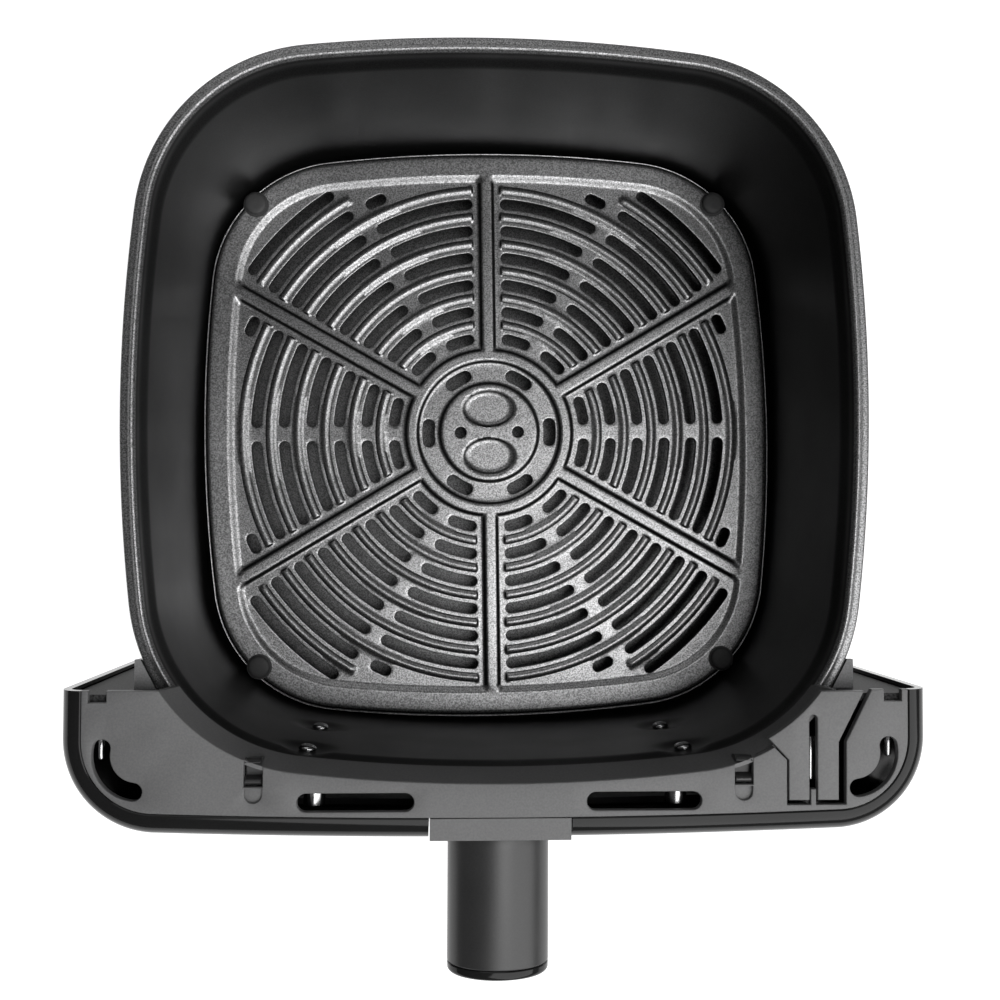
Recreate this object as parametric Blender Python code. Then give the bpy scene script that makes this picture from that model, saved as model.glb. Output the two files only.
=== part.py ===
"""Removable drawer of a basket-type air fryer: pan, crisper plate, front housing and handle.

Metres, +Z up. The origin is the centre of the pan's underside, which stands on z = 0.
The handle points along -Y, and the pan's far side (+Y) goes into the machine first.
"""
import math

import bmesh
import bpy
from mathutils import Matrix, Vector

# Pan: a rounded square with gently bowed sides
RIM_HALF = 0.1225
SIDE_RADIUS = 0.565
CORNER_RADIUS = 0.0616
CORNER_STEPS = 6
SIDE_STEPS = 4
PAN_HEIGHT = 0.1155
PAN_WALL = 0.0012
FLOOR_INSET = 0.0064
TOP_INSET = 0.0055
RIM_INSET = 0.0042
RIM_EDGE = 0.0012
STEP_HEIGHT = 0.1078
FILLET = 0.0098

# Crisper plate
PLATE_INSET = 0.0077
PLATE_TOP = 0.022
PLATE_THICKNESS = 0.0022
PLATE_SKIRT = 0.009
PLATE_YAW = math.radians(1.0)
RELIEF = 0.0012
BORDER_CREST = (0.0020, 0.0096)
BORDER_FOOT = 0.0125
FIRST_RING = 0.0386
RING_PITCH = 0.011
SLOT_WIDTH = 0.0042
SPOKE_CLEARANCE = 0.0057
BRIDGE_HALF = 0.0028
SPOKE_WIDTH = 0.0056
SPOKE_END = 0.1065
HUB_INNER = 0.029
HUB_OUTER = 0.0338
HUB_DISC = (0.0206, 0.0009)
HUB_OVAL = (0.0108, 0.0076, 0.0096)
HUB_SLOT_RADIUS = 0.0246
HOLE_X = 0.0116
HOLE_RADIUS = 0.0023
BUMPER_PLACE = 0.0928
BUMPER_RADIUS = 0.005
LEG_PLACE = 0.1028
LEG_RADIUS = 0.0035

# Front housing
HOUSING_HALF = 0.137
HOUSING_FRONT = 0.1375
HOUSING_REAR = -0.0905
HOUSING_CORNER = 0.030
HOUSING_BOW = 6.0
HOUSING_BOTTOM = 0.003
HOUSING_TOP = 0.1295
SHELL_WALL = 0.0025
SHELL_LIP = 0.007
COVER_THICKNESS = 0.0025
JOINT_GAP = 0.0004
CLIP_X = 0.077
CLIP_HALF_WIDTH = 0.0026
DIMPLE_RADIUS = 0.0027
SWITCH_LEFT = 0.0913
SWITCH_RIGHT = 0.1073
SWITCH_FRONT = -0.1254
SWITCH_SLOT_X = 0.0992
SWITCH_SLOT_HALF = 0.0013
BOTTOM_THICKNESS = 0.0022
FRAME_WALL = 0.0022
FRAME_HEIGHTS = (0.008, 0.092)
FRAME_HALF = 0.096
GUARD_FRONT_AND_BACK = (0.092, 0.0944)
EAR_OUTER = 0.1178
EAR_ENDS = (-0.093, -0.0826)
EAR_HEIGHTS = (0.111, 0.113)

# Fasteners and handle
RIVET_X = 0.0635
RIVET_HEIGHTS = (0.056, 0.099)
RIVET_HOLE = 0.0022
RIVET_DIMPLE = (0.0046, 0.0062)
BRACKET_THICKNESS = 0.0015
BRACKET_HEIGHTS = (0.048, 0.107)
FRAME_SCREW_X = 0.088
FRAME_SCREW_HEIGHTS = (0.058, 0.084)
BOTTOM_SCREWS = ((0.030, -0.1286), (0.085, -0.1274))
CLEARANCE_HOLE = 0.0018
PILOT_HOLE = 0.0017
SCREW_HEAD_HEIGHT = 0.0012
MOUNT_HALF = 0.0222
MOUNT_FRONT = -0.1373
MOUNT_REAR = -0.1305
MOUNT_BOTTOM = 0.094
BAR_HALF_WIDTH = 0.006
BAR_HALF_HEIGHT = 0.004
BAR_PLATE = (-0.1302, -0.1278)
HANDLE_Z = 0.111
HANDLE_HALF_WIDTH = 0.0165
HANDLE_HALF_HEIGHT = 0.012
HANDLE_WALL = 0.0022
HANDLE_ROOT = -0.1376
HANDLE_END = -0.180
HANDLE_SCREW_X = 0.012
HANDLE_SHELL_SCREWS = (-0.150, -0.172)

GAP = 0.0003
CENTRE_OFFSET = SIDE_RADIUS - RIM_HALF
CORNER_CENTRE = (math.sqrt(2 * (SIDE_RADIUS - CORNER_RADIUS) ** 2 - CENTRE_OFFSET ** 2) - CENTRE_OFFSET) / 2
TANGENT_ANGLE = math.atan2(CORNER_CENTRE, CORNER_CENTRE + CENTRE_OFFSET)


# ---------------------------------------------------------------- materials and objects

def make_material(name, color, roughness, metallic):
    """A Principled material in one colour."""
    material = bpy.data.materials.new(name)
    material.use_nodes = True
    shader = material.node_tree.nodes["Principled BSDF"]
    shader.inputs["Base Color"].default_value = (*color, 1.0)
    shader.inputs["Roughness"].default_value = roughness
    shader.inputs["Metallic"].default_value = metallic
    material.diffuse_color = (*color, 1.0)
    return material


def make_object(name, bm, material, parent=None):
    """Turn a bmesh into a named object with its faces pointing out."""
    bmesh.ops.recalc_face_normals(bm, faces=bm.faces)
    mesh = bpy.data.meshes.new(name)
    bm.to_mesh(mesh)
    bm.free()
    mesh.materials.append(material)
    thing = bpy.data.objects.new(name, mesh)
    thing.parent = parent
    bpy.context.scene.collection.objects.link(thing)
    return thing


def make_copies(base_name, bm, material, poses):
    """Numbered copies of one small piece that share a mesh, each placed by its own matrix."""
    first = make_object(f"{base_name}_1", bm, material)
    shade(first)
    first.matrix_world = poses[0]
    for number, pose in enumerate(poses[1:], 2):
        copy = bpy.data.objects.new(f"{base_name}_{number}", first.data)
        copy.matrix_world = pose
        bpy.context.scene.collection.objects.link(copy)


def combine(thing, bm, operation):
    """Apply a Boolean of bm to the object, and keep only the result."""
    tool = make_object("tool", bm, thing.data.materials[0], thing.parent)
    modifier = thing.modifiers.new("combine", "BOOLEAN")
    modifier.operation = operation
    modifier.solver = "EXACT"
    modifier.object = tool
    bpy.context.view_layer.update()
    evaluated = thing.evaluated_get(bpy.context.evaluated_depsgraph_get())
    result = bpy.data.meshes.new_from_object(evaluated)
    thing.modifiers.remove(modifier)
    thing.data = result
    bpy.data.objects.remove(tool)


def cut(thing, bm):
    """Remove bm from the object."""
    combine(thing, bm, "DIFFERENCE")


def unite(thing, bm):
    """Add bm to the object."""
    combine(thing, bm, "UNION")


def shade(thing, angle=35):
    """Smooth the round faces and keep the real edges sharp."""
    thing.data.shade_smooth()
    thing.data.set_sharp_from_angle(angle=math.radians(angle))


# ---------------------------------------------------------------- outlines

def arc(centre, radius, start, end, steps):
    """Points along an arc, both ends included."""
    angles = [start + (end - start) * i / steps for i in range(steps + 1)]
    return [(centre[0] + radius * math.cos(a), centre[1] + radius * math.sin(a)) for a in angles]


def pan_outline(offset):
    """Closed outline of the rounded square, its rim edge moved outwards by offset."""
    points = []
    for quarter in range(4):
        turn = quarter * math.pi / 2
        side = arc((-CENTRE_OFFSET, 0), SIDE_RADIUS + offset, -TANGENT_ANGLE, TANGENT_ANGLE, SIDE_STEPS)
        corner = arc((CORNER_CENTRE, CORNER_CENTRE), CORNER_RADIUS + offset,
                     TANGENT_ANGLE, math.pi / 2 - TANGENT_ANGLE, CORNER_STEPS)
        points += [turned_point(point, turn) for point in side[:-1] + corner[:-1]]
    return points


def turned_point(point, turn):
    """A point in plan, turned about the origin."""
    x, y = point
    return (x * math.cos(turn) - y * math.sin(turn), x * math.sin(turn) + y * math.cos(turn))


def front_arc(offset, rear):
    """The stretch of the pan's outline in front of y = rear, from -X to +X."""
    radius = CORNER_RADIUS + offset
    start = math.pi + math.asin((-rear - CORNER_CENTRE) / radius)
    end = 1.5 * math.pi - TANGENT_ANGLE
    left = arc((-CORNER_CENTRE, -CORNER_CENTRE), radius, start, end, CORNER_STEPS)
    middle = 1.5 * math.pi
    front = arc((0, CENTRE_OFFSET), SIDE_RADIUS + offset, end, middle + TANGENT_ANGLE, 2 * SIDE_STEPS)
    return left + front[1:-1] + [(-x, y) for x, y in reversed(left)]


def housing_outline(inset):
    """Open outline of the housing, from its rear right end round the bowed front to the left."""
    radius = HOUSING_CORNER - inset
    centre_x = HOUSING_HALF - HOUSING_CORNER
    bow_at_corner = centre_x ** 2 / HOUSING_BOW
    centre_y = -HOUSING_FRONT + bow_at_corner + HOUSING_CORNER
    right = [(HOUSING_HALF - inset, HOUSING_REAR)]
    right += arc((centre_x, centre_y), radius, 0, -math.pi / 2, CORNER_STEPS)
    steps = 4 * SIDE_STEPS
    front = [front_point(centre_x * (1 - 2 * i / steps), inset) for i in range(1, steps)]
    return right + front + [(-x, y) for x, y in reversed(right)]


def front_point(x, inset):
    """A point of the bowed front face, moved inwards by inset."""
    return (x, -HOUSING_FRONT + x ** 2 / HOUSING_BOW + inset)


def stadium(x0, x1, y, half_width):
    """A slot with round ends along X."""
    right = arc((x1 - half_width, y), half_width, -math.pi / 2, math.pi / 2, 6)
    left = arc((x0 + half_width, y), half_width, math.pi / 2, 1.5 * math.pi, 6)
    return right + left


def arc_slot(centre, radius, half_width, start, end, steps):
    """A slot along an arc, with round ends that reach the start and end angles."""
    inset = half_width / radius
    a0 = start + inset
    a1 = end - inset
    outer = arc(centre, radius + half_width, a0, a1, steps)
    inner = arc(centre, radius - half_width, a1, a0, steps)
    end_centre = arc(centre, radius, a1, a1, 1)[0]
    start_centre = arc(centre, radius, a0, a0, 1)[0]
    cap_end = arc(end_centre, half_width, a1, a1 + math.pi, 3)[1:-1]
    cap_start = arc(start_centre, half_width, a0 + math.pi, a0 + 2 * math.pi, 3)[1:-1]
    return outer + cap_end + inner + cap_start


# ---------------------------------------------------------------- solids

def add_prism(bm, outline, z0, z1):
    """Add a closed prism over an outline."""
    low = [bm.verts.new((x, y, z0)) for x, y in outline]
    high = [bm.verts.new((x, y, z1)) for x, y in outline]
    bm.faces.new(list(reversed(low)))
    bm.faces.new(high)
    for i in range(len(outline)):
        j = (i + 1) % len(outline)
        bm.faces.new((low[i], low[j], high[j], high[i]))


def prism(outline, z0, z1):
    """A closed prism over an outline."""
    bm = bmesh.new()
    add_prism(bm, outline, z0, z1)
    return bm


def box(x0, x1, y0, y1, z0, z1):
    """A box between two corners."""
    return prism([(x0, y0), (x1, y0), (x1, y1), (x0, y1)], z0, z1)


def turned(profile, steps=16):
    """A solid of revolution about Z; the profile is (radius, z) from the lower axis end to the upper."""
    bm = bmesh.new()
    rings = [[bm.verts.new((r * math.cos(a), r * math.sin(a), z))
              for a in (2 * math.pi * i / steps for i in range(steps))] for r, z in profile]
    join_rings(bm, rings)
    bm.faces.new(list(reversed(rings[0])))
    bm.faces.new(rings[-1])
    return bm


def join_rings(bm, rings):
    """Quads between neighbouring closed rings."""
    for low, high in zip(rings, rings[1:]):
        for i in range(len(low)):
            j = (i + 1) % len(low)
            bm.faces.new((low[i], low[j], high[j], high[i]))


def stacked(outline_at, profile):
    """A solid with one closed ring for each (offset, z), capped at both ends."""
    bm = bmesh.new()
    rings = [[bm.verts.new((x, y, z)) for x, y in outline_at(offset)] for offset, z in profile]
    join_rings(bm, rings)
    bm.faces.new(list(reversed(rings[0])))
    bm.faces.new(rings[-1])
    return bm


def swept(outline_at, profile):
    """A closed (offset, z) profile carried along an open outline, with flat ends."""
    bm = bmesh.new()
    rows = [[bm.verts.new((x, y, z)) for x, y in outline_at(offset)] for offset, z in profile]
    count = len(profile)
    for i in range(count):
        low = rows[i]
        high = rows[(i + 1) % count]
        for j in range(len(low) - 1):
            bm.faces.new((low[j], low[j + 1], high[j + 1], high[j]))
    bm.faces.new([row[0] for row in rows])
    bm.faces.new([row[-1] for row in reversed(rows)])
    return bm


def cylinder(radius, z0, z1, place=(0, 0), steps=16):
    """An upright cylinder."""
    bm = turned([(radius, z0), (radius, z1)], steps)
    bmesh.ops.translate(bm, vec=(place[0], place[1], 0), verts=bm.verts)
    return bm


def posed(bm, matrix):
    """The bmesh moved by a matrix."""
    bmesh.ops.transform(bm, matrix=matrix, verts=bm.verts)
    return bm


def joined(pieces):
    """Several closed solids in one bmesh."""
    mesh = bpy.data.meshes.new("joined")
    bm = bmesh.new()
    for piece in pieces:
        piece.to_mesh(mesh)
        piece.free()
        bm.from_mesh(mesh)
    bpy.data.meshes.remove(mesh)
    return bm


def along_y(x, z, y=0.0):
    """Carries +Z to -Y, with the local origin at (x, y, z)."""
    return Matrix.Translation((x, y, z)) @ Matrix.Rotation(math.pi / 2, 4, "X")


def mirrored(points):
    """The outline on the other side of the YZ plane."""
    return [(-x, y) for x, y in reversed(points)]


# ---------------------------------------------------------------- pan and its rivets

def wall_inset(z):
    """Inset of the pan's inner wall at a height: the wall leans outwards a little."""
    low = PAN_WALL + FILLET
    share = (z - low) / (PAN_HEIGHT - low)
    return FLOOR_INSET + (TOP_INSET - FLOOR_INSET) * share


def rivet_frame(side, z):
    """Frame on the pan's inner front wall, its +Z along the wall's outward normal."""
    reach = SIDE_RADIUS - wall_inset(z)
    lean = math.asin(RIVET_X / reach)
    spot = Vector((side * RIVET_X, CENTRE_OFFSET - reach * math.cos(lean), z))
    turn = Matrix.Rotation(side * lean, 4, "Z")
    return Matrix.Translation(spot) @ turn @ Matrix.Rotation(math.pi / 2, 4, "X")


def rivet_frames():
    """The four rivet places."""
    return [rivet_frame(side, z) for side in (-1, 1) for z in RIVET_HEIGHTS]


def pan_profile():
    """(offset, z) from the underside, up the outside, over the rolled rim and down the inside."""
    centre = (-FLOOR_INSET - FILLET, PAN_WALL + FILLET)
    outer = arc(centre, FILLET + PAN_WALL, -math.pi / 2, 0, 3)
    inner = arc(centre, FILLET, 0, -math.pi / 2, 3)
    top = PAN_HEIGHT
    above = STEP_HEIGHT + 0.0012
    rim = [(PAN_WALL - TOP_INSET, STEP_HEIGHT), (PAN_WALL - RIM_INSET, above),
           (PAN_WALL - RIM_INSET, top - 0.0028), (-0.0008, top - 0.0021), (-0.0003, top - 0.005),
           (RIM_EDGE - 0.0002, top - 0.005), (RIM_EDGE, top - 0.002), (0.0005, top - 0.0006), (-0.001, top),
           (-0.0034, top), (-RIM_INSET, top - 0.0009), (-RIM_INSET, above), (-TOP_INSET, STEP_HEIGHT)]
    return outer + rim + inner


def make_pan(coating):
    """Deep drawn pan with a rolled rim and four dimples for the rivets."""
    pan = make_object("pan", stacked(pan_outline, pan_profile()), coating)
    spots = rivet_frames()
    inner, outer = RIVET_DIMPLE
    unite(pan, joined([posed(cylinder(outer, 0.0006, 0.0022), spot) for spot in spots]))
    cut(pan, joined([posed(cylinder(inner, -0.002, 0.001), spot) for spot in spots]))
    cut(pan, joined([posed(cylinder(RIVET_HOLE, 0.0005, 0.004), spot) for spot in spots]))
    shade(pan)
    return pan


def make_rivets(steel):
    """Four rivets with a low dome inside the pan and a flat head outside the brackets."""
    profile = [(0.0012, -0.0001), (0.0026, 0.0001), (0.0034, 0.0007), (0.0019, 0.0007),
               (0.0019, 0.0047), (0.0032, 0.0047), (0.0030, 0.0054), (0.0018, 0.0058)]
    make_copies("pan_rivet", turned(profile), steel, rivet_frames())


def bracket_path(side):
    """Centre line of a bracket in plan: along the pan's wall, forwards, then along the frame."""
    spot = rivet_frame(1, RIVET_HEIGHTS[1])
    wall = 0.00325
    near = spot @ Vector((-0.012, 0, wall))
    far = spot @ Vector((0.013, 0, wall))
    points = [(near.x, near.y), (far.x, far.y), (0.0795, -0.1292), (0.0965, -0.1292)]
    return points if side > 0 else [(-x, y) for x, y in points]


def strip_outline(path, thickness):
    """Outline of a bent strip of even thickness along a path."""
    left = []
    right = []
    for i, (x, y) in enumerate(path):
        before = Vector(path[max(i - 1, 0)])
        after = Vector(path[min(i + 1, len(path) - 1)])
        here = Vector((x, y))
        one = (here - before).normalized() if i > 0 else (after - here).normalized()
        two = (after - here).normalized() if i < len(path) - 1 else one
        middle = Vector((-(one.y + two.y), one.x + two.x)).normalized()
        reach = thickness / 2 / middle.dot(Vector((-one.y, one.x)))
        left.append(tuple(here + middle * reach))
        right.append(tuple(here - middle * reach))
    return left + right[::-1]


def make_brackets(steel):
    """Bent steel brackets that carry the front housing on the pan."""
    for side, name in ((-1, "pan_bracket_left"), (1, "pan_bracket_right")):
        outline = strip_outline(bracket_path(side), BRACKET_THICKNESS)
        bracket = make_object(name, prism(outline, *BRACKET_HEIGHTS), steel)
        holes = [posed(cylinder(RIVET_HOLE, 0.001, 0.006), rivet_frame(side, z)) for z in RIVET_HEIGHTS]
        holes += [posed(cylinder(CLEARANCE_HOLE, 0.127, 0.132), along_y(side * FRAME_SCREW_X, z))
                  for z in FRAME_SCREW_HEIGHTS]
        cut(bracket, joined(holes))
        shade(bracket)


# ---------------------------------------------------------------- crisper plate

def plate_outline(offset):
    """Closed outline of the plate, moved outwards by offset."""
    return pan_outline(offset - PLATE_INSET)


def quadrant_slots():
    """(radius, start, end) of the slots between +X and +Y that the two symmetry planes repeat."""
    slots = []
    for ring in range(6):
        radius = FIRST_RING + ring * RING_PITCH
        edge = SPOKE_CLEARANCE / radius
        bridge = BRIDGE_HALF / radius
        slots.append((radius, bridge, math.radians(30) - edge))
        slots.append((radius, math.radians(30) + edge, math.radians(60) - bridge))
        slots.append((radius, math.radians(60) + bridge, math.radians(90) - edge))
    seventh = FIRST_RING + 6 * RING_PITCH
    eighth = FIRST_RING + 7 * RING_PITCH
    slots.append((seventh, math.radians(22.5), math.radians(27)))
    slots.append((seventh, math.radians(33.5), math.radians(58.75)))
    slots.append((seventh, math.radians(62.25), math.radians(67)))
    slots.append((eighth, math.radians(34.25), math.radians(57.5)))
    return slots


def slot_cutters():
    """All air slots of the plate, the hub's included, as one set of prisms."""
    bm = bmesh.new()
    low = PLATE_TOP - PLATE_THICKNESS - 0.001
    high = PLATE_TOP + 0.001
    for radius, start, end in quadrant_slots():
        steps = 3 if (end - start) * radius > 0.02 else 2
        outline = arc_slot((0, 0), radius, SLOT_WIDTH / 2, start, end, steps)
        add_prism(bm, outline, low, high)
        add_prism(bm, [(-x, y) for x, y in reversed(outline)], low, high)
        add_prism(bm, [(x, -y) for x, y in reversed(outline)], low, high)
        add_prism(bm, [(-x, -y) for x, y in outline], low, high)
    for sixth in range(6):
        middle = sixth * math.pi / 3
        reach = 0.00565 / HUB_SLOT_RADIUS
        outline = arc_slot((0, 0), HUB_SLOT_RADIUS, 0.0024, middle - reach, middle + reach, 2)
        add_prism(bm, outline, low, high)
    return bm


def spoke(turn):
    """One raised spoke from the hub's ring to the border."""
    length = SPOKE_END / max(abs(math.cos(turn)), abs(math.sin(turn)))
    half = SPOKE_WIDTH / 2
    bar = box(HUB_OUTER - 0.001, length, -half, half, PLATE_TOP - 0.001, PLATE_TOP + RELIEF)
    return posed(bar, Matrix.Rotation(turn, 4, "Z"))


def hub_ring():
    """The raised ring round the hub."""
    bm = bmesh.new()
    steps = 36
    section = [(HUB_INNER, PLATE_TOP - 0.001), (HUB_OUTER, PLATE_TOP - 0.001),
               (HUB_OUTER, PLATE_TOP + RELIEF), (HUB_INNER, PLATE_TOP + RELIEF)]
    rings = [[bm.verts.new((r * math.cos(a), r * math.sin(a), z))
              for a in (2 * math.pi * i / steps for i in range(steps))] for r, z in section]
    join_rings(bm, rings + [rings[0]])
    return bm


def ellipse(half_width, half_height, middle=0.0, steps=20):
    """Closed ellipse whose centre is at (0, middle)."""
    angles = [2 * math.pi * i / steps for i in range(steps)]
    return [(half_width * math.cos(a), middle + half_height * math.sin(a)) for a in angles]


def oval(side):
    """One of the two oval finger dimples of the hub."""
    half_width, half_height, place = HUB_OVAL
    return prism(ellipse(half_width, half_height, side * place), PLATE_TOP - 0.0004, PLATE_TOP + 0.002)


def make_crisper_plate(coating, lift):
    """Perforated plate with a turned-down edge, raised border, spokes and hub, and a leg at each side."""
    top = PLATE_TOP
    crest = PLATE_TOP + RELIEF
    under = PLATE_TOP - PLATE_THICKNESS
    low = PLATE_TOP - PLATE_SKIRT
    near, far = BORDER_CREST
    profile = [(-BORDER_FOOT, under), (-0.0022, under), (-0.0018, low), (0, low), (0, crest - 0.0018),
               (-0.0006, crest - 0.0005), (-near, crest), (-far, crest), (-BORDER_FOOT, top)]
    plate = make_object("crisper_plate", stacked(plate_outline, profile), coating, lift)
    spots = [turned_point((LEG_PLACE, 0), quarter * math.pi / 2) for quarter in range(4)]
    legs = [cylinder(LEG_RADIUS, PAN_WALL + GAP, under + 0.0005, spot, 12) for spot in spots]
    unite(plate, joined(legs))
    cut(plate, slot_cutters())
    unite(plate, hub_ring())
    unite(plate, joined([spoke(math.radians(30 + 60 * i)) for i in range(6)]))
    disc_radius, disc_rise = HUB_DISC
    unite(plate, cylinder(disc_radius, top - 0.001, top + disc_rise, steps=36))
    cut(plate, joined([oval(-1), oval(1)]))
    cut(plate, joined([cylinder(HOLE_RADIUS, under - 0.001, crest, (x, 0), 12) for x in (-HOLE_X, HOLE_X)]))
    corners = [(sx * BUMPER_PLACE, sy * BUMPER_PLACE) for sx in (-1, 1) for sy in (-1, 1)]
    notch = BUMPER_RADIUS - 2 * GAP
    cut(plate, joined([cylinder(notch, low - 0.001, crest + 0.001, spot) for spot in corners]))
    shade(plate)


def make_bumpers(silicone, lift):
    """Four silicone bumpers that grip the plate's edge on the diagonals."""
    top = PLATE_TOP + RELIEF
    low = PLATE_TOP - PLATE_SKIRT
    neck = BUMPER_RADIUS - 0.001
    profile = [(0.0036, low - 0.0022), (0.0046, low - 0.0018), (0.0048, low - GAP),
               (neck, low - GAP), (neck, top + GAP), (BUMPER_RADIUS, top + GAP),
               (BUMPER_RADIUS, top + 0.0016), (0.0042, top + 0.0026), (0.0025, top + 0.003)]
    for name, sx, sy in (("bumper_front_left", -1, -1), ("bumper_front_right", 1, -1),
                         ("bumper_rear_left", -1, 1), ("bumper_rear_right", 1, 1)):
        bumper = make_object(name, turned(profile), silicone, lift)
        bumper.location = (sx * BUMPER_PLACE, sy * BUMPER_PLACE, 0)
        shade(bumper)


# ---------------------------------------------------------------- front housing

def make_front_shell(gloss):
    """Glossy outer wall of the housing, with a rounded lip and a notch for the handle's mount."""
    lip_centre = (SHELL_LIP, HOUSING_TOP - SHELL_LIP)
    outer = arc(lip_centre, SHELL_LIP, math.pi, math.pi / 2, 5)
    inner = arc(lip_centre, SHELL_LIP - SHELL_WALL, math.pi / 2, math.pi, 4)
    profile = [(SHELL_WALL, HOUSING_BOTTOM), (0.0012, HOUSING_BOTTOM), (0.0002, HOUSING_BOTTOM + 0.004)]
    profile += outer + inner
    shell = make_object("front_shell", swept(housing_outline, profile), gloss)
    half = MOUNT_HALF + JOINT_GAP
    cut(shell, box(-half, half, -HOUSING_FRONT - 0.002, -HOUSING_FRONT + 0.02, 0.0936, HOUSING_TOP + 0.001))
    shade(shell)


def corner_slot(side):
    """The curved air slot in one corner of the cover."""
    outline = arc_slot((-0.1125, -0.1105), 0.0112, 0.0028, math.radians(154), math.radians(278), 7)
    return outline if side < 0 else mirrored(outline)


def switch_legs(left=0.0, right=0.0, front=0.0):
    """Left and right edges of the two-legged switch plate in plan, with room added on each side."""
    left_edge = [(SWITCH_LEFT - left, -0.1127), (SWITCH_LEFT - left, SWITCH_FRONT - front)]
    right_edge = [(SWITCH_RIGHT + right, SWITCH_FRONT - front), (SWITCH_RIGHT + right, -0.1071),
                  (0.1156 + right, -0.0910)]
    return left_edge, right_edge


def make_switch_plate(matte):
    """Two-legged plate, in its own cut-out, that tells the machine the drawer is in."""
    left_edge, right_edge = switch_legs()
    centre = (CORNER_CENTRE, -CORNER_CENTRE)
    along_pan = arc(centre, CORNER_RADIUS - 0.0062, math.radians(-37.1), math.radians(-60.6), 6)
    half = SWITCH_SLOT_HALF
    slot_top = arc((SWITCH_SLOT_X, -0.0998), half, 0, math.pi, 4)
    gap = [(SWITCH_SLOT_X - half, SWITCH_FRONT)] + slot_top[::-1] + [(SWITCH_SLOT_X + half, SWITCH_FRONT)]
    top = HOUSING_TOP + 0.0002
    outline = along_pan + left_edge + gap + right_edge
    plate = make_object("switch_plate", prism(outline, top - COVER_THICKNESS, top), matte)
    unite(plate, box(0.1015, 0.1045, -0.120, -0.108, 0.112, top - 0.001))
    shade(plate, 20)


def cover_cutters():
    """Everything that is cut through the top cover."""
    low = HOUSING_TOP - COVER_THICKNESS - 0.001
    high = HOUSING_TOP + 0.001
    cutters = []
    for side in (-1, 1):
        near, far = sorted((side * 0.0271, side * 0.0635))
        cutters.append(prism(stadium(near, far, -0.1253, 0.00285), low, high))
        cutters.append(prism(corner_slot(side), low, high))
        near, far = sorted((side * 0.1222, side * 0.1278))
        cutters.append(box(near, far, -0.0942, HOUSING_REAR + 0.001, low, high))
        x = side * CLIP_X
        cutters.append(box(x - 0.0029, x + 0.0029, -0.1203, -0.1100, 0.1212, high))
        dimple = arc((x, -0.1226), DIMPLE_RADIUS, math.pi, 2 * math.pi, 8)
        dimple += [(x + DIMPLE_RADIUS, -0.1209), (x - DIMPLE_RADIUS, -0.1209)]
        cutters.append(prism(dimple, HOUSING_TOP - 0.0012, high))
    left_edge, right_edge = switch_legs(left=0.0005, right=0.0024, front=0.0014)
    over_pan = [(0.095, HOUSING_REAR + 0.001), (0.0800, -0.1020)]
    tongue = [(0.0983, -0.1268), (0.0983, -0.1219), (0.1001, -0.1219), (0.1001, -0.1268)]
    right_edge[-1] = (right_edge[-1][0] + 0.0006, HOUSING_REAR + 0.001)
    cutters.append(prism(over_pan + left_edge + tongue + right_edge, low, high))
    return cutters


def make_top_cover(matte):
    """Matte cover round the front of the pan, with a collar that hides the pan's rim."""
    top = HOUSING_TOP
    low = top - COVER_THICKNESS
    outline = housing_outline(SHELL_LIP + JOINT_GAP) + front_arc(-0.0015, HOUSING_REAR)
    cover = make_object("top_cover", prism(outline, low, top), matte)
    foot = PAN_HEIGHT + GAP
    collar = [(-0.0057, foot), (-0.0028, top), (-0.0010, top), (-0.0010, low), (-0.0037, foot)]
    unite(cover, swept(lambda offset: front_arc(offset, HOUSING_REAR), collar))
    for cutter in cover_cutters():
        cut(cover, cutter)
    shade(cover, 20)


def make_cover_clips(matte):
    """Snap clips that hold the top cover beside the pan."""
    side_view = [(-0.1116, 0.1245), (-0.1116, 0.1276), (-0.1128, 0.1295), (-0.1134, 0.1264),
                 (-0.1172, 0.1256), (-0.1178, 0.1285), (-0.1186, 0.1293), (-0.1195, 0.1288),
                 (-0.1199, 0.1278), (-0.1199, 0.1216), (-0.1140, 0.1216)]
    for side, name in ((-1, "cover_clip_left"), (1, "cover_clip_right")):
        bm = prism(side_view, side * CLIP_X - CLIP_HALF_WIDTH, side * CLIP_X + CLIP_HALF_WIDTH)
        turn = Matrix(((0, 0, 1, 0), (1, 0, 0, 0), (0, 1, 0, 0), (0, 0, 0, 1)))
        make_object(name, posed(bm, turn), matte)


def make_bottom_cover(matte):
    """Plate that closes the housing from below."""
    outline = housing_outline(SHELL_WALL + JOINT_GAP) + front_arc(-0.004, HOUSING_REAR)
    solid = prism(outline, HOUSING_BOTTOM, HOUSING_BOTTOM + BOTTOM_THICKNESS)
    cover = make_object("bottom_cover", solid, matte)
    holes = [cylinder(PILOT_HOLE, 0, 0.008, (side * x, y)) for side in (-1, 1) for x, y in BOTTOM_SCREWS]
    cut(cover, joined(holes))


def frame_front(inset):
    """The inner frame's line behind the shell's front."""
    steps = 16
    return [front_point(FRAME_HALF * (1 - 2 * i / steps), inset) for i in range(steps + 1)]


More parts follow.
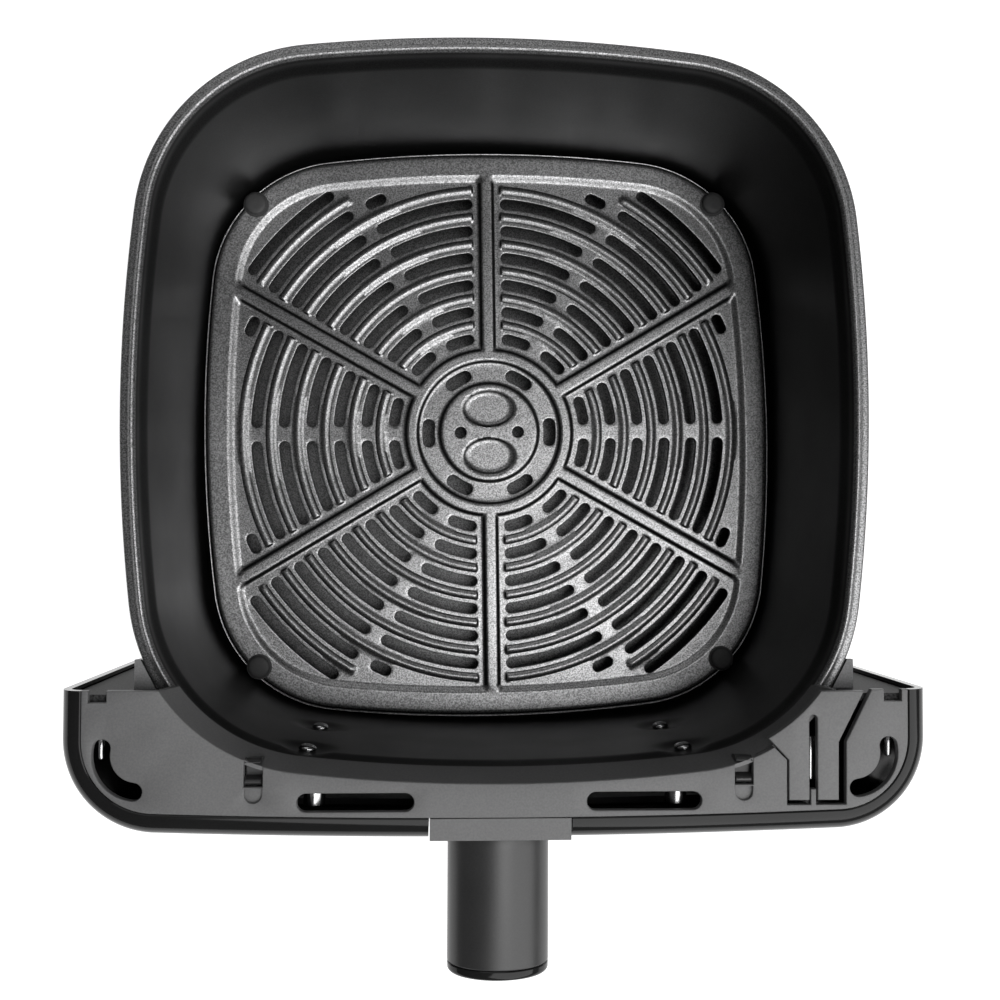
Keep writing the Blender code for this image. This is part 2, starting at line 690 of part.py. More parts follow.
def make_inner_frame(plastic):
    """Frame behind the shell: it takes the bracket screws and the bottom cover's screws."""
    low, high = FRAME_HEIGHTS
    outer = SHELL_WALL + 0.0005
    inner = outer + FRAME_WALL
    profile = [(outer, low), (outer, high), (inner, high), (inner, low)]
    frame = make_object("inner_frame", swept(frame_front, profile), plastic)
    bosses = [cylinder(0.0038, 0.0056, 0.028, (side * x, y)) for side in (-1, 1) for x, y in BOTTOM_SCREWS]
    bosses += [posed(cylinder(0.0036, 0.1303, 0.1322), along_y(side * FRAME_SCREW_X, z))
               for side in (-1, 1) for z in FRAME_SCREW_HEIGHTS]
    unite(frame, joined(bosses))
    holes = [cylinder(PILOT_HOLE, 0.004, 0.020, (side * x, y)) for side in (-1, 1) for x, y in BOTTOM_SCREWS]
    holes += [posed(cylinder(CLEARANCE_HOLE, 0.129, 0.136), along_y(side * FRAME_SCREW_X, z))
              for side in (-1, 1) for z in FRAME_SCREW_HEIGHTS]
    cut(frame, joined(holes))
    shade(frame)


def make_rear_guards(plastic):
    """Walls that close the housing's rear beside the pan, each with an ear at the rim."""
    wall_outline = [(-0.1338, 0.0056), (-0.105, 0.0056), (-0.105, 0.1075), (-0.1112, 0.1075),
                    (-0.1112, 0.1266), (-0.1295, 0.1266), (-0.1338, 0.1225)]
    front, rear = EAR_ENDS
    ear_arc = [p for p in pan_outline(RIM_EDGE + 2 * GAP) if p[0] < -0.1 and front < p[1] < rear]
    ear_arc.sort(key=lambda p: -p[1])
    ear_outline = [(-EAR_OUTER, rear), edge_point(rear)] + ear_arc
    ear_outline += [edge_point(front), (-EAR_OUTER, front)]
    for side, name in ((-1, "rear_guard_left"), (1, "rear_guard_right")):
        wall = [(-side * x, z) for x, z in wall_outline]
        turn = Matrix(((1, 0, 0, 0), (0, 0, -1, 0), (0, 1, 0, 0), (0, 0, 0, 1)))
        guard = make_object(name, posed(prism(wall, *GUARD_FRONT_AND_BACK), turn), plastic)
        ear = [(-side * x, y) for x, y in ear_outline]
        unite(guard, prism(ear, *EAR_HEIGHTS))


def edge_point(y):
    """The point of the pan's left rim, just outside it, at a given y."""
    radius = CORNER_RADIUS + RIM_EDGE + 2 * GAP
    return (-CORNER_CENTRE - math.sqrt(radius ** 2 - (-y - CORNER_CENTRE) ** 2), y)


def screw(radius, head_radius, length):
    """Pan-head screw along +Z with its head below zero."""
    head = SCREW_HEAD_HEIGHT
    return turned([(head_radius * 0.7, -head), (head_radius, -head * 0.5), (head_radius, 0), (radius, 0),
                   (radius, length - 0.001), (radius * 0.5, length)])


def make_housing_screws(steel):
    """Screws from the brackets into the frame, and from the bottom cover into the frame."""
    poses = [along_y(side * FRAME_SCREW_X, z, -0.1281) for side in (-1, 1) for z in FRAME_SCREW_HEIGHTS]
    make_copies("frame_screw", screw(0.0015, 0.003, 0.005), steel, poses)
    poses = [Matrix.Translation((side * x, y, HOUSING_BOTTOM - GAP))
             for side in (-1, 1) for x, y in BOTTOM_SCREWS]
    make_copies("bottom_screw", screw(0.0014, 0.003, 0.013), steel, poses)


# ---------------------------------------------------------------- handle

def half_shell(upper):
    """Half of the handle's oval tube in its X-Z section."""
    steps = 28
    first = 0 if upper else steps // 2
    outer = ellipse(HANDLE_HALF_WIDTH, HANDLE_HALF_HEIGHT, steps=steps)
    inner = ellipse(HANDLE_HALF_WIDTH - HANDLE_WALL, HANDLE_HALF_HEIGHT - HANDLE_WALL, steps=steps)
    half = [(first + i) % steps for i in range(steps // 2 + 1)]
    seam = GAP / 2 if upper else -GAP / 2
    points = [outer[i] for i in half] + [inner[i] for i in reversed(half)]
    return [(x, z + seam) for x, z in points]


def make_handle_mount(matte):
    """Block in the shell's notch that carries the handle."""
    block = box(-MOUNT_HALF, MOUNT_HALF, MOUNT_FRONT, MOUNT_REAR, MOUNT_BOTTOM, HOUSING_TOP)
    mount = make_object("handle_mount", block, matte)
    half, rise = BAR_HALF_WIDTH + JOINT_GAP, BAR_HALF_HEIGHT + JOINT_GAP
    cut(mount, box(-half, half, -0.140, -0.128, HANDLE_Z - rise, HANDLE_Z + rise))
    holes = [posed(cylinder(CLEARANCE_HOLE, 0.129, 0.136), along_y(side * HANDLE_SCREW_X, HANDLE_Z))
             for side in (-1, 1)]
    cut(mount, joined(holes))
    shade(mount, 20)


def make_handle_core(steel):
    """Steel bar inside the handle, welded to a plate behind the mount."""
    half, rise = BAR_HALF_WIDTH, BAR_HALF_HEIGHT
    bar = box(-half, half, HANDLE_END + 0.002, -0.1285, HANDLE_Z - rise, HANDLE_Z + rise)
    core = make_object("handle_core", bar, steel)
    unite(core, box(-3 * half, 3 * half, *BAR_PLATE, HANDLE_Z - 3 * rise, HANDLE_Z + 3 * rise))
    holes = [cylinder(0.0021, 0.100, 0.120, (0, y)) for y in HANDLE_SHELL_SCREWS]
    holes += [posed(cylinder(CLEARANCE_HOLE, 0.127, 0.132), along_y(side * HANDLE_SCREW_X, HANDLE_Z))
              for side in (-1, 1)]
    cut(core, joined(holes))
    shade(core)


def make_handle_shells(matte):
    """Upper and lower halves of the grip, with screw bosses."""
    to_place = along_y(0, HANDLE_Z)
    tube = prism(half_shell(True), -HANDLE_ROOT, -HANDLE_END)
    upper = make_object("handle_upper", posed(tube, to_place), matte)
    unite(upper, joined([cylinder(0.0034, 0.1156, 0.1215, (0, y)) for y in HANDLE_SHELL_SCREWS]))
    cut(upper, joined([cylinder(PILOT_HOLE, 0.110, 0.1196, (0, y)) for y in HANDLE_SHELL_SCREWS]))
    shade(upper)
    tube = prism(half_shell(False), -HANDLE_ROOT, -HANDLE_END)
    lower = make_object("handle_lower", posed(tube, to_place), matte)
    unite(lower, joined([cylinder(0.0046, 0.1004, 0.1064, (0, y)) for y in HANDLE_SHELL_SCREWS]))
    cut(lower, joined([cylinder(0.0034, 0.097, 0.1024, (0, y)) for y in HANDLE_SHELL_SCREWS]))
    cut(lower, joined([cylinder(CLEARANCE_HOLE, 0.100, 0.108, (0, y)) for y in HANDLE_SHELL_SCREWS]))
    shade(lower)


def make_handle_end_cap(gloss):
    """Rounded cap that closes the handle's end."""
    sections = [(1.0, 0), (1.0, 0.0018), (0.96, 0.0028), (0.86, 0.0034)]
    place = along_y(0, HANDLE_Z, HANDLE_END - GAP)
    cap = make_object("handle_end_cap", posed(stacked(grip_section, sections), place), gloss)
    plug = prism(grip_section(0.6)[::2], -0.0018, 0.0012)
    unite(cap, posed(plug, place))
    shade(cap)


def grip_section(scale):
    """The handle's oval section, scaled."""
    return ellipse(HANDLE_HALF_WIDTH * scale, HANDLE_HALF_HEIGHT * scale, steps=28)


def make_handle_screws(steel):
    """Two screws from behind into the mount, and two from below that close the grip."""
    poses = [along_y(side * HANDLE_SCREW_X, HANDLE_Z, -0.1275) for side in (-1, 1)]
    make_copies("handle_screw", screw(0.0015, 0.0029, 0.0065), steel, poses)
    poses = [Matrix.Translation((0, y, 0.1021)) for y in HANDLE_SHELL_SCREWS]
    make_copies("grip_screw", screw(0.0014, 0.0029, 0.0155), steel, poses)


# ---------------------------------------------------------------- the whole drawer

def build():
    """Make every piece."""
    for thing in list(bpy.data.objects):
        bpy.data.objects.remove(thing)
    pan_coating = make_material("pan_coating", (0.022, 0.022, 0.023), 0.38, 0.35)
    plate_coating = make_material("plate_coating", (0.085, 0.085, 0.088), 0.45, 0.6)
    silicone = make_material("silicone", (0.02, 0.02, 0.021), 0.7, 0.0)
    gloss = make_material("gloss_black", (0.012, 0.012, 0.013), 0.08, 0.0)
    matte = make_material("matte_grey", (0.075, 0.076, 0.078), 0.55, 0.0)
    frame_plastic = make_material("frame_plastic", (0.03, 0.03, 0.031), 0.5, 0.0)
    grip = make_material("grip_plastic", (0.035, 0.035, 0.037), 0.32, 0.0)
    steel = make_material("steel", (0.55, 0.55, 0.56), 0.35, 1.0)

    lift = bpy.data.objects.new("plate_lift", None)
    lift.rotation_euler = (0, 0, PLATE_YAW)
    bpy.context.scene.collection.objects.link(lift)

    make_pan(pan_coating)
    make_rivets(steel)
    make_brackets(steel)
    make_crisper_plate(plate_coating, lift)
    make_bumpers(silicone, lift)
    make_front_shell(gloss)
    make_top_cover(matte)
    make_switch_plate(matte)
    make_cover_clips(matte)
    make_bottom_cover(frame_plastic)
    make_inner_frame(frame_plastic)
    make_rear_guards(matte)
    make_housing_screws(steel)
    make_handle_mount(matte)
    make_handle_core(steel)
    make_handle_shells(grip)
    make_handle_end_cap(gloss)
    make_handle_screws(steel)


build()
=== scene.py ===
"""Fine meshes, finishes, light and camera for the air fryer's drawer.

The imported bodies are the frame: every piece below stands where a CAD node stands and rides on its body.
Lengths in the mesh functions are millimetres, and make_piece turns them into metres.
"""
import math

import bmesh
import bpy
import numpy as np
from mathutils import Matrix, Vector
from mathutils.geometry import delaunay_2d_cdt


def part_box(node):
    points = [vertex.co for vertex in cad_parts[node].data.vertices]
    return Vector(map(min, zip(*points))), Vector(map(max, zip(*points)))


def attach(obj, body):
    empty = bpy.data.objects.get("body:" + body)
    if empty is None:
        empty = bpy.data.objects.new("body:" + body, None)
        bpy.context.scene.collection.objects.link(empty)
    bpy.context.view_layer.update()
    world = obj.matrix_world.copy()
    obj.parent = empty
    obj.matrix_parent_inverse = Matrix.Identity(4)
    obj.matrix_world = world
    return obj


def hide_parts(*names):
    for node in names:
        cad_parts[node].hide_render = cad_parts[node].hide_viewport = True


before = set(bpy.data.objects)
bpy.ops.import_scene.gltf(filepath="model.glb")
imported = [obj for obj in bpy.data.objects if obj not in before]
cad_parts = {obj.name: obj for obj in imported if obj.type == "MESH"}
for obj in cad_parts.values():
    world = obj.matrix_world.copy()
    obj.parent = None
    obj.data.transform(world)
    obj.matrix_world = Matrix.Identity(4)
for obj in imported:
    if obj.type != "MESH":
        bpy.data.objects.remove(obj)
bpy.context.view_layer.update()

MM = 0.001

# Pan: the same rounded square as in CAD
RIM_HALF = 122.5
SIDE_RADIUS = 565.0
CORNER_RADIUS = 61.6
PAN_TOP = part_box("pan")[1][2] / MM
PAN_WALL = 1.2
FLOOR_INSET = 6.4
TOP_INSET = 5.5
RIM_INSET = 4.2
STEP_HEIGHT = 103.0
STEP_RISE = 7.5
FILLET = 9.8
CENTRE_OFFSET = SIDE_RADIUS - RIM_HALF
CORNER_CENTRE = (math.sqrt(2 * (SIDE_RADIUS - CORNER_RADIUS) ** 2 - CENTRE_OFFSET ** 2) - CENTRE_OFFSET) / 2
TANGENT_ANGLE = math.atan2(CORNER_CENTRE, CORNER_CENTRE + CENTRE_OFFSET)

# Crisper plate
PLATE_INSET = 7.7
PLATE_YAW = math.radians(1.0)
PLATE_TOP = 21.8
PLATE_UNDER = 19.8
PLATE_FOOT = 13.0
RELIEF = 1.4
RIB_RELIEF = 0.62
RIB_HALF = 1.9
BORDER_RISE = 1.25
BORDER_CREST = 9.6
BORDER_FOOT = 12.6
DISC_RISE = 1.3
DISC_RADII = (18.8, 21.0)
DIMPLE_DEPTH = 1.3
DIMPLE_Y = 9.6
DIMPLE_HALF_WIDTH = 10.8
DIMPLE_HALF_LENGTH = 7.6
FIRST_RING = 38.6
FIRST_RIB = 44.1
RING_PITCH = 11.0
SLOT_HALF = 2.1
SPOKE_CLEARANCE = 5.7
BRIDGE_HALF = 2.8
SPOKE_TURN = math.radians(30)
SIXTH = math.radians(60)
HUB_MIDDLE = 31.2
HUB_SLOT_RADIUS = 24.6
HUB_SLOT_HALF = 2.4
HOLE_X = 11.6
HOLE_RADIUS = 2.3
LEG_PLACE = 102.8
LEG_RADIUS = 3.5

# Front housing
HOUSING_HALF = 137.0
HOUSING_FRONT = 137.5
HOUSING_REAR = -90.5
HOUSING_CORNER = 30.0
HOUSING_BOW = 6000.0
HOUSING_BOTTOM = 3.0
HOUSING_TOP = 129.5
SHELL_WALL = 2.5
SHELL_LIP = 7.0
COVER_SEAM = 0.15
COVER_THICKNESS = 2.5
NOTCH_HALF = 22.6
NOTCH_FLOOR = 93.6
CLIP_X = 77.0

# Handle and rivets
RIVET_X = 63.5
RIVET_HEIGHTS = (56.0, 99.0)
HANDLE_Z = 111.0
HANDLE_HALF_WIDTH = 16.5
HANDLE_HALF_HEIGHT = 12.0
HANDLE_WALL = 2.2
HANDLE_ROOT = -137.6
HANDLE_END = -180.0


# ---------------------------------------------------------------- plan geometry

def arc(centre, radius, start, end, steps):
    """Points along an arc, both ends included."""
    angles = np.linspace(start, end, steps + 1)
    return np.column_stack((centre[0] + radius * np.cos(angles), centre[1] + radius * np.sin(angles)))


def turned_points(points, turn):
    """Plan points, turned about the origin."""
    cos, sin = math.cos(turn), math.sin(turn)
    return np.asarray(points) @ np.array(((cos, sin), (-sin, cos)))


def mirrored(points):
    """The outline on the other side of the YZ plane."""
    return np.asarray(points)[::-1] * (-1, 1)


def rim_outline(offset, side_steps=80, corner_steps=36):
    """Closed outline of the rounded square, the rim's edge moved outwards by offset."""
    side = arc((-CENTRE_OFFSET, 0), SIDE_RADIUS + offset, -TANGENT_ANGLE, TANGENT_ANGLE, side_steps)
    corner = arc((CORNER_CENTRE, CORNER_CENTRE), CORNER_RADIUS + offset,
                 TANGENT_ANGLE, math.pi / 2 - TANGENT_ANGLE, corner_steps)
    quarter = np.vstack((side[:-1], corner[:-1]))
    return np.vstack([turned_points(quarter, turn * math.pi / 2) for turn in range(4)])


def rim_inset(x, y):
    """How far plan points lie inside the rim's edge."""
    x, y = np.maximum(abs(x), abs(y)), np.minimum(abs(x), abs(y))
    side = SIDE_RADIUS - np.hypot(x + CENTRE_OFFSET, y)
    corner = CORNER_RADIUS - np.hypot(x - CORNER_CENTRE, y - CORNER_CENTRE)
    return np.where(np.arctan2(y, x + CENTRE_OFFSET) <= TANGENT_ANGLE, side, corner)


def front_arc(offset, rear=HOUSING_REAR, corner_steps=40, side_steps=100):
    """The stretch of the rim's outline in front of y = rear, from -X to +X."""
    radius = CORNER_RADIUS + offset
    start = math.pi + math.asin((-rear - CORNER_CENTRE) / radius)
    end = 1.5 * math.pi - TANGENT_ANGLE
    left = arc((-CORNER_CENTRE, -CORNER_CENTRE), radius, start, end, corner_steps)
    front = arc((0, CENTRE_OFFSET), SIDE_RADIUS + offset, end, 1.5 * math.pi + TANGENT_ANGLE, side_steps)
    return np.vstack((left, front[1:-1], mirrored(left)))


def front_point(x, inset):
    """A point of the housing's bowed front, moved inwards by inset."""
    return (x, -HOUSING_FRONT + x ** 2 / HOUSING_BOW + inset)


def housing_outline(inset, rear=HOUSING_REAR):
    """Open outline of the housing, from its rear right end round the bowed front to the left."""
    centre_x = HOUSING_HALF - HOUSING_CORNER
    centre_y = -HOUSING_FRONT + centre_x ** 2 / HOUSING_BOW + HOUSING_CORNER
    corner = arc((centre_x, centre_y), HOUSING_CORNER - inset, 0, -math.pi / 2, 28)
    side = [(HOUSING_HALF - inset, y) for y in np.linspace(rear, centre_y, 5)[:-1]]
    spread = np.linspace(centre_x, NOTCH_HALF, 34)[1:]
    right = np.vstack((side, corner, [front_point(x, inset) for x in spread]))
    middle = [front_point(x, inset) for x in np.linspace(NOTCH_HALF, -NOTCH_HALF, 19)[1:-1]]
    return np.vstack((right, middle, mirrored(right)))


def arc_slot(radius, half_width, start, end, centre=(0, 0), reach=None):
    """A slot along an arc, with round ends; reach is how far the ends' centres lie inside start and end."""
    inset = (half_width if reach is None else reach) / radius
    a0, a1 = start + inset, end - inset
    steps = max(4, round((a1 - a0) * radius / 1.3))
    turn = Vector(centre)
    outer = arc(centre, radius + half_width, a0, a1, steps)
    inner = arc(centre, radius - half_width, a1, a0, steps)
    ends = [turn + radius * Vector((math.cos(a), math.sin(a))) for a in (a1, a0)]
    cap_end = arc(ends[0], half_width, a1, a1 + math.pi, 10)[1:-1]
    cap_start = arc(ends[1], half_width, a0 + math.pi, a0 + 2 * math.pi, 10)[1:-1]
    return np.vstack((outer, cap_end, inner, cap_start))


def stadium(x0, x1, y, half_width):
    """A straight slot with round ends, along X."""
    right = arc((x1 - half_width, y), half_width, -math.pi / 2, math.pi / 2, 14)
    left = arc((x0 + half_width, y), half_width, math.pi / 2, 1.5 * math.pi, 14)
    return np.vstack((right, left))


def ellipse(half_width, half_height):
    """Closed ellipse."""
    angles = np.linspace(0, 2 * math.pi, 96, endpoint=False)
    return np.column_stack((half_width * np.cos(angles), half_height * np.sin(angles)))


def inside(points, loops):
    """Even-odd test of many plan points against closed loops."""
    result = np.zeros(len(points), bool)
    px, py = points[:, 0:1], points[:, 1:2]
    for loop in loops:
        x0, y0 = loop[:, 0], loop[:, 1]
        x1, y1 = np.roll(x0, -1), np.roll(y0, -1)
        spans = (y0 > py) != (y1 > py)
        rise = np.where(y1 == y0, 1, y1 - y0)
        left = px < x0 + (py - y0) * (x1 - x0) / rise
        result ^= (spans & left).sum(axis=1) % 2 == 1
    return result


def fill(loops, inner, keep):
    """Plan points, triangles between loops and through inner points, and the numbers of the loops' points.

    Only triangles whose middle keep accepts stay. A point is added where two lines cross, so each loop's
    own points are looked up in the result.
    """
    points = np.vstack(list(loops) + [inner]) if len(inner) else np.vstack(loops)
    edges = []
    first = 0
    for loop in loops:
        count = len(loop)
        edges += [(first + i, first + (i + 1) % count) for i in range(count)]
        first += count
    made = delaunay_2d_cdt([Vector(p) for p in points], edges, [], 0, 1e-5)
    corners = np.array([tuple(v) for v in made[0]])
    triangles = np.array(made[2])
    triangles = triangles[keep(corners[triangles].mean(axis=1))]
    number = {source: result for result, group in enumerate(made[3]) for source in group}
    numbers = []
    first = 0
    for loop in loops:
        numbers.append([number[first + i] for i in range(len(loop))])
        first += len(loop)
    return corners, triangles, numbers


def region_loops(outer, cutters):
    """Boundary loops of an outline with pieces cut from it, the material on the left."""
    def keep(centres):
        kept = inside(centres, [outer])
        for cutter in cutters:
            kept &= ~inside(centres, [cutter])
        return kept
    corners, triangles = fill([outer] + list(cutters), [], keep)[:2]
    directed = {(a, b) for t in triangles.tolist() for a, b in zip(t, t[1:] + t[:1])}
    following = {a: b for a, b in directed if (b, a) not in directed}
    loops = []
    while following:
        start = next(iter(following))
        loop = [start]
        while following[loop[-1]] != start:
            loop.append(following.pop(loop[-1]))
        following.pop(loop[-1])
        loops.append(without_short_edges(corners[loop]))
    return loops


def without_short_edges(loop, shortest=0.12):
    """The loop without points that almost touch the one before."""
    kept = [loop[0]]
    for point in loop[1:]:
        if math.dist(point, kept[-1]) > shortest:
            kept.append(point)
    return np.array(kept)


def inset_loop(loop, distance):
    """The loop moved towards the material on its left."""
    before = loop - np.roll(loop, 1, axis=0)
    after = np.roll(loop, -1, axis=0) - loop
    normals = []
    for step in (before, after):
        length = np.maximum(np.hypot(step[:, 0], step[:, 1]), 1e-9)
        normals.append(np.column_stack((-step[:, 1], step[:, 0])) / length[:, None])
    total = normals[0] + normals[1]
    scale = np.maximum(1 + (normals[0] * normals[1]).sum(axis=1), 0.5)
    return loop + distance * total / scale[:, None]


# ---------------------------------------------------------------- surfaces

class Surface:
    """Points and faces of one piece, in millimetres."""

    def __init__(self):
        self.points = []
        self.faces = []

    def add(self, plan, z):
        """Add plan points at a height, or at a height each, and return their numbers."""
        first = len(self.points)
        plan = np.asarray(plan, float)
        heights = np.broadcast_to(z, len(plan))
        self.points += [(x, y, h) for (x, y), h in zip(plan.tolist(), heights.tolist())]
        return list(range(first, len(self.points)))

    def band(self, low, high, closed=True):
        """Quads between two rows of points."""
        for i in range(len(low) if closed else len(low) - 1):
            j = (i + 1) % len(low)
            self.faces.append((low[i], low[j], high[j], high[i]))

    def bands(self, rows, closed=True):
        """Quads between neighbouring rows."""
        for low, high in zip(rows, rows[1:]):
            self.band(low, high, closed)

    def cap(self, loops, z, upward, inner=(), keep=None, height=None):
        """A flat or relief face between loops; returns the point numbers of each loop."""
        keep = keep or (lambda centres: inside(centres, loops))
        corners, triangles, loop_numbers = fill(loops, inner, keep)
        used = np.unique(np.concatenate([triangles.ravel()] + [np.array(n) for n in loop_numbers]))
        place = np.zeros(len(corners), int)
        plan = corners[used]
        place[used] = self.add(plan, height(plan[:, 0], plan[:, 1]) if height else z)
        ordered = triangles if upward else triangles[:, ::-1]
        self.faces += [tuple(face) for face in place[ordered].tolist()]
        return [place[numbers].tolist() for numbers in loop_numbers]

    def plate(self, loops, bottom, top, edge=0.35, steps=3):
        """A flat plate with rounded upper edges."""
        upper = self.cap([inset_loop(loop, edge) for loop in loops], top, True)
        lower = self.cap(loops, bottom, False)
        for loop, high, low in zip(loops, upper, lower):
            rows = [high]
            for i in range(1, steps + 1):
                turn = i / steps * math.pi / 2
                ring = inset_loop(loop, edge * (1 - math.sin(turn)))
                rows.append(self.add(ring, top - edge * (1 - math.cos(turn))))
            self.bands([low] + rows[::-1])

    def turned(self, profile, matrix=Matrix(), steps=48):
        """A solid of revolution about the matrix's Z; the profile is (radius, z) from end to end."""
        angles = np.linspace(0, 2 * math.pi, steps, endpoint=False)
        rings = [[matrix @ Vector((radius * math.cos(a), radius * math.sin(a), z)) for a in angles]
                 for radius, z in profile]
        self.close([self.row(ring) for ring in rings])

    def row(self, points):
        """Add points in space and return their numbers."""
        first = len(self.points)
        self.points += [tuple(p) for p in points]
        return list(range(first, len(self.points)))

    def close(self, rows):
        """Bands between closed rows, with a face at each end."""
        self.bands(rows)
        self.faces += [tuple(rows[0][::-1]), tuple(rows[-1])]


def rounded(profile, radius, steps=3):
    """A closed profile with each corner cut round."""
    points = [Vector(p) for p in profile]
    result = []
    for i, corner in enumerate(points):
        to_last = points[i - 1] - corner
        to_next = points[(i + 1) % len(points)] - corner
        reach = min(radius, 0.45 * to_last.length, 0.45 * to_next.length)
        start = corner + to_last.normalized() * reach
        end = corner + to_next.normalized() * reach
        for step in range(steps + 1):
            t = step / steps
            result.append(tuple(start * (1 - t) ** 2 + corner * 2 * t * (1 - t) + end * t ** 2))
    return result


def make_piece(surface, node, looks, slot, body="drawer", angle=38, extra=False):
    """Turn a surface into a visible piece; it stands for the CAD node of its name unless it is extra."""
    mesh = bpy.data.meshes.new(node + "_fine")
    mesh.from_pydata((np.array(surface.points) * MM).tolist(), [], surface.faces)
    bm = bmesh.new()
    bm.from_mesh(mesh)
    bmesh.ops.recalc_face_normals(bm, faces=bm.faces)
    bm.to_mesh(mesh)
    bm.free()
    mesh.shade_smooth()
    mesh.set_sharp_from_angle(angle=math.radians(angle))
    mesh.materials.append(looks[slot])
    thing = bpy.data.objects.new(node + "_fine", mesh)
    bpy.context.scene.collection.objects.link(thing)
    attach(thing, body)
    if not extra:
        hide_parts(node)
    return thing


# ---------------------------------------------------------------- finishes

class Finish:
    """A Principled material with a few node helpers."""

    def __init__(self, name, roughness=0.5, metallic=0.0, specular=0.5):
        self.slot = name
        self.material = bpy.data.materials.new(name + "_fine")
        self.material.use_nodes = True
        self.tree = self.material.node_tree
        self.shader = self.tree.nodes["Principled BSDF"]
        self.shader.inputs["Roughness"].default_value = roughness
        self.shader.inputs["Metallic"].default_value = metallic
        self.shader.inputs["Specular IOR Level"].default_value = specular
        self.place = self.tree.nodes.new("ShaderNodeTexCoord").outputs["Object"]

    def node(self, kind, **values):
        """A node with some of its properties or inputs set."""
        made = self.tree.nodes.new(kind)
        for key, value in values.items():
            if hasattr(made, key):
                setattr(made, key, value)
            else:
                made.inputs[key.replace("_", " ")].default_value = value
        return made

    def link(self, source, target):
        """Link two sockets."""
        self.tree.links.new(source, target)

    def noise(self, scale, detail=2.0, stretch=None):
        """Noise over the object's own coordinates, in features per metre."""
        made = self.node("ShaderNodeTexNoise", Scale=scale, Detail=detail)
        if stretch:
            mapping = self.node("ShaderNodeMapping", Scale=stretch)
            self.link(self.place, mapping.inputs["Vector"])
            self.link(mapping.outputs["Vector"], made.inputs["Vector"])
        else:
            self.link(self.place, made.inputs["Vector"])
        return made.outputs["Fac"]

    def remap(self, source, low, high, to_low, to_high):
        """A value moved from one range to another, and held inside it."""
        made = self.tree.nodes.new("ShaderNodeMapRange")
        self.link(source, made.inputs["Value"])
        for number, value in enumerate((low, high, to_low, to_high), 1):
            made.inputs[number].default_value = value
        return made.outputs["Result"]

    def math(self, operation, one, two):
        """Arithmetic on two sockets, or on a socket and a number."""
        made = self.node("ShaderNodeMath", operation=operation)
        for socket, value in zip(made.inputs, (one, two)):
            if isinstance(value, (int, float)):
                socket.default_value = value
            else:
                self.link(value, socket)
        return made.outputs["Value"]

    def part(self, vector, axis):
        """One component of a vector."""
        made = self.node("ShaderNodeSeparateXYZ")
        self.link(vector, made.inputs["Vector"])
        return made.outputs[axis]

    def colour(self, factor, low, high):
        """Base colour between two colours."""
        made = self.node("ShaderNodeMix", data_type="RGBA")
        self.link(factor, made.inputs["Factor"])
        made.inputs[6].default_value = (*low, 1)
        made.inputs[7].default_value = (*high, 1)
        self.link(made.outputs[2], self.shader.inputs["Base Color"])

    def roughness(self, factor):
        """Roughness from a value."""
        self.link(factor, self.shader.inputs["Roughness"])

    def bump(self, height, distance, strength):
        """Bump from a height of 0 to 1, with the distance in metres."""
        made = self.node("ShaderNodeBump", Strength=strength, Distance=distance)
        self.link(height, made.inputs["Height"])
        self.link(made.outputs["Normal"], self.shader.inputs["Normal"])


def grey(value, tint=0.01):
    """A nearly neutral colour, a touch blue."""
    return (value, value, value * (1 + tint))


def plate_coating():
    """Non-stick coating with metal flakes, with painted shade on the steep sides of the relief."""
    finish = Finish("plate_coating", metallic=0.92)
    flakes = finish.noise(1800.0, 2.0)
    clouds = finish.noise(25.0, 3.0)
    normal = finish.node("ShaderNodeNewGeometry").outputs["Normal"]
    # painted shade: steep faces of the relief get a darker colour, standing in for the shade and dark
    # reflections in its slopes
    upward = finish.remap(finish.part(normal, "Z"), 0.76, 0.88, 0.1, 1.0)
    share = finish.math("MULTIPLY", upward, finish.remap(flakes, 0.36, 0.66, 0.3, 1.0))
    finish.colour(share, grey(0.025), grey(0.42))
    finish.roughness(finish.remap(clouds, 0.3, 0.7, 0.29, 0.35))
    finish.bump(flakes, 0.00008, 0.55)
    return finish


def pan_coating():
    """The same coating in the pan, with painted light: the floor is paler to stand in for light through the
    plate's slots, the rim's top band is paler as a painted highlight on the roll, and both show the
    coating's own speckle; up the wall it stays smooth and dark.
    """
    finish = Finish("pan_coating", metallic=0.85, specular=0.15)
    flakes = finish.noise(2000.0, 2.0)
    clouds = finish.noise(25.0, 3.0)
    height = finish.part(finish.place, "Z")
    # painted light: the floor is paler than the wall, standing in for light that comes through the plate's
    # slots
    low = finish.remap(height, 0.004, 0.016, 0.2, 0.02)
    # painted highlight: the rim's top band is paler, a highlight on the roll painted over the coating's own
    # speckle
    high = finish.remap(height, PAN_TOP * MM - 0.0024, PAN_TOP * MM - 0.0014, 0.0, 0.5)
    speckle = finish.remap(flakes, 0.38, 0.64, 0.3, 1.0)
    share = finish.math("MULTIPLY", finish.math("ADD", low, high), speckle)
    finish.colour(share, grey(0.014), grey(0.8))
    finish.roughness(finish.remap(clouds, 0.3, 0.7, 0.34, 0.4))
    finish.bump(flakes, 0.0001, 0.15)
    return finish


def moulded_plastic(name, value, rough, grain, bump, specular=0.5):
    """Moulded plastic with a fine spark-eroded grain and faint wear."""
    finish = Finish(name, specular=specular)
    fine = finish.noise(grain, 3.0)
    clouds = finish.noise(30.0, 4.0)
    grained = finish.remap(fine, 0.35, 0.65, 0, 0.5)
    share = finish.math("ADD", grained, finish.remap(clouds, 0.3, 0.7, 0, 0.5))
    finish.colour(share, grey(value * 0.82), grey(value * 1.18))
    finish.roughness(finish.remap(clouds, 0.3, 0.7, rough * 0.9, rough * 1.1))
    finish.bump(fine, 0.00008, bump)
    return finish


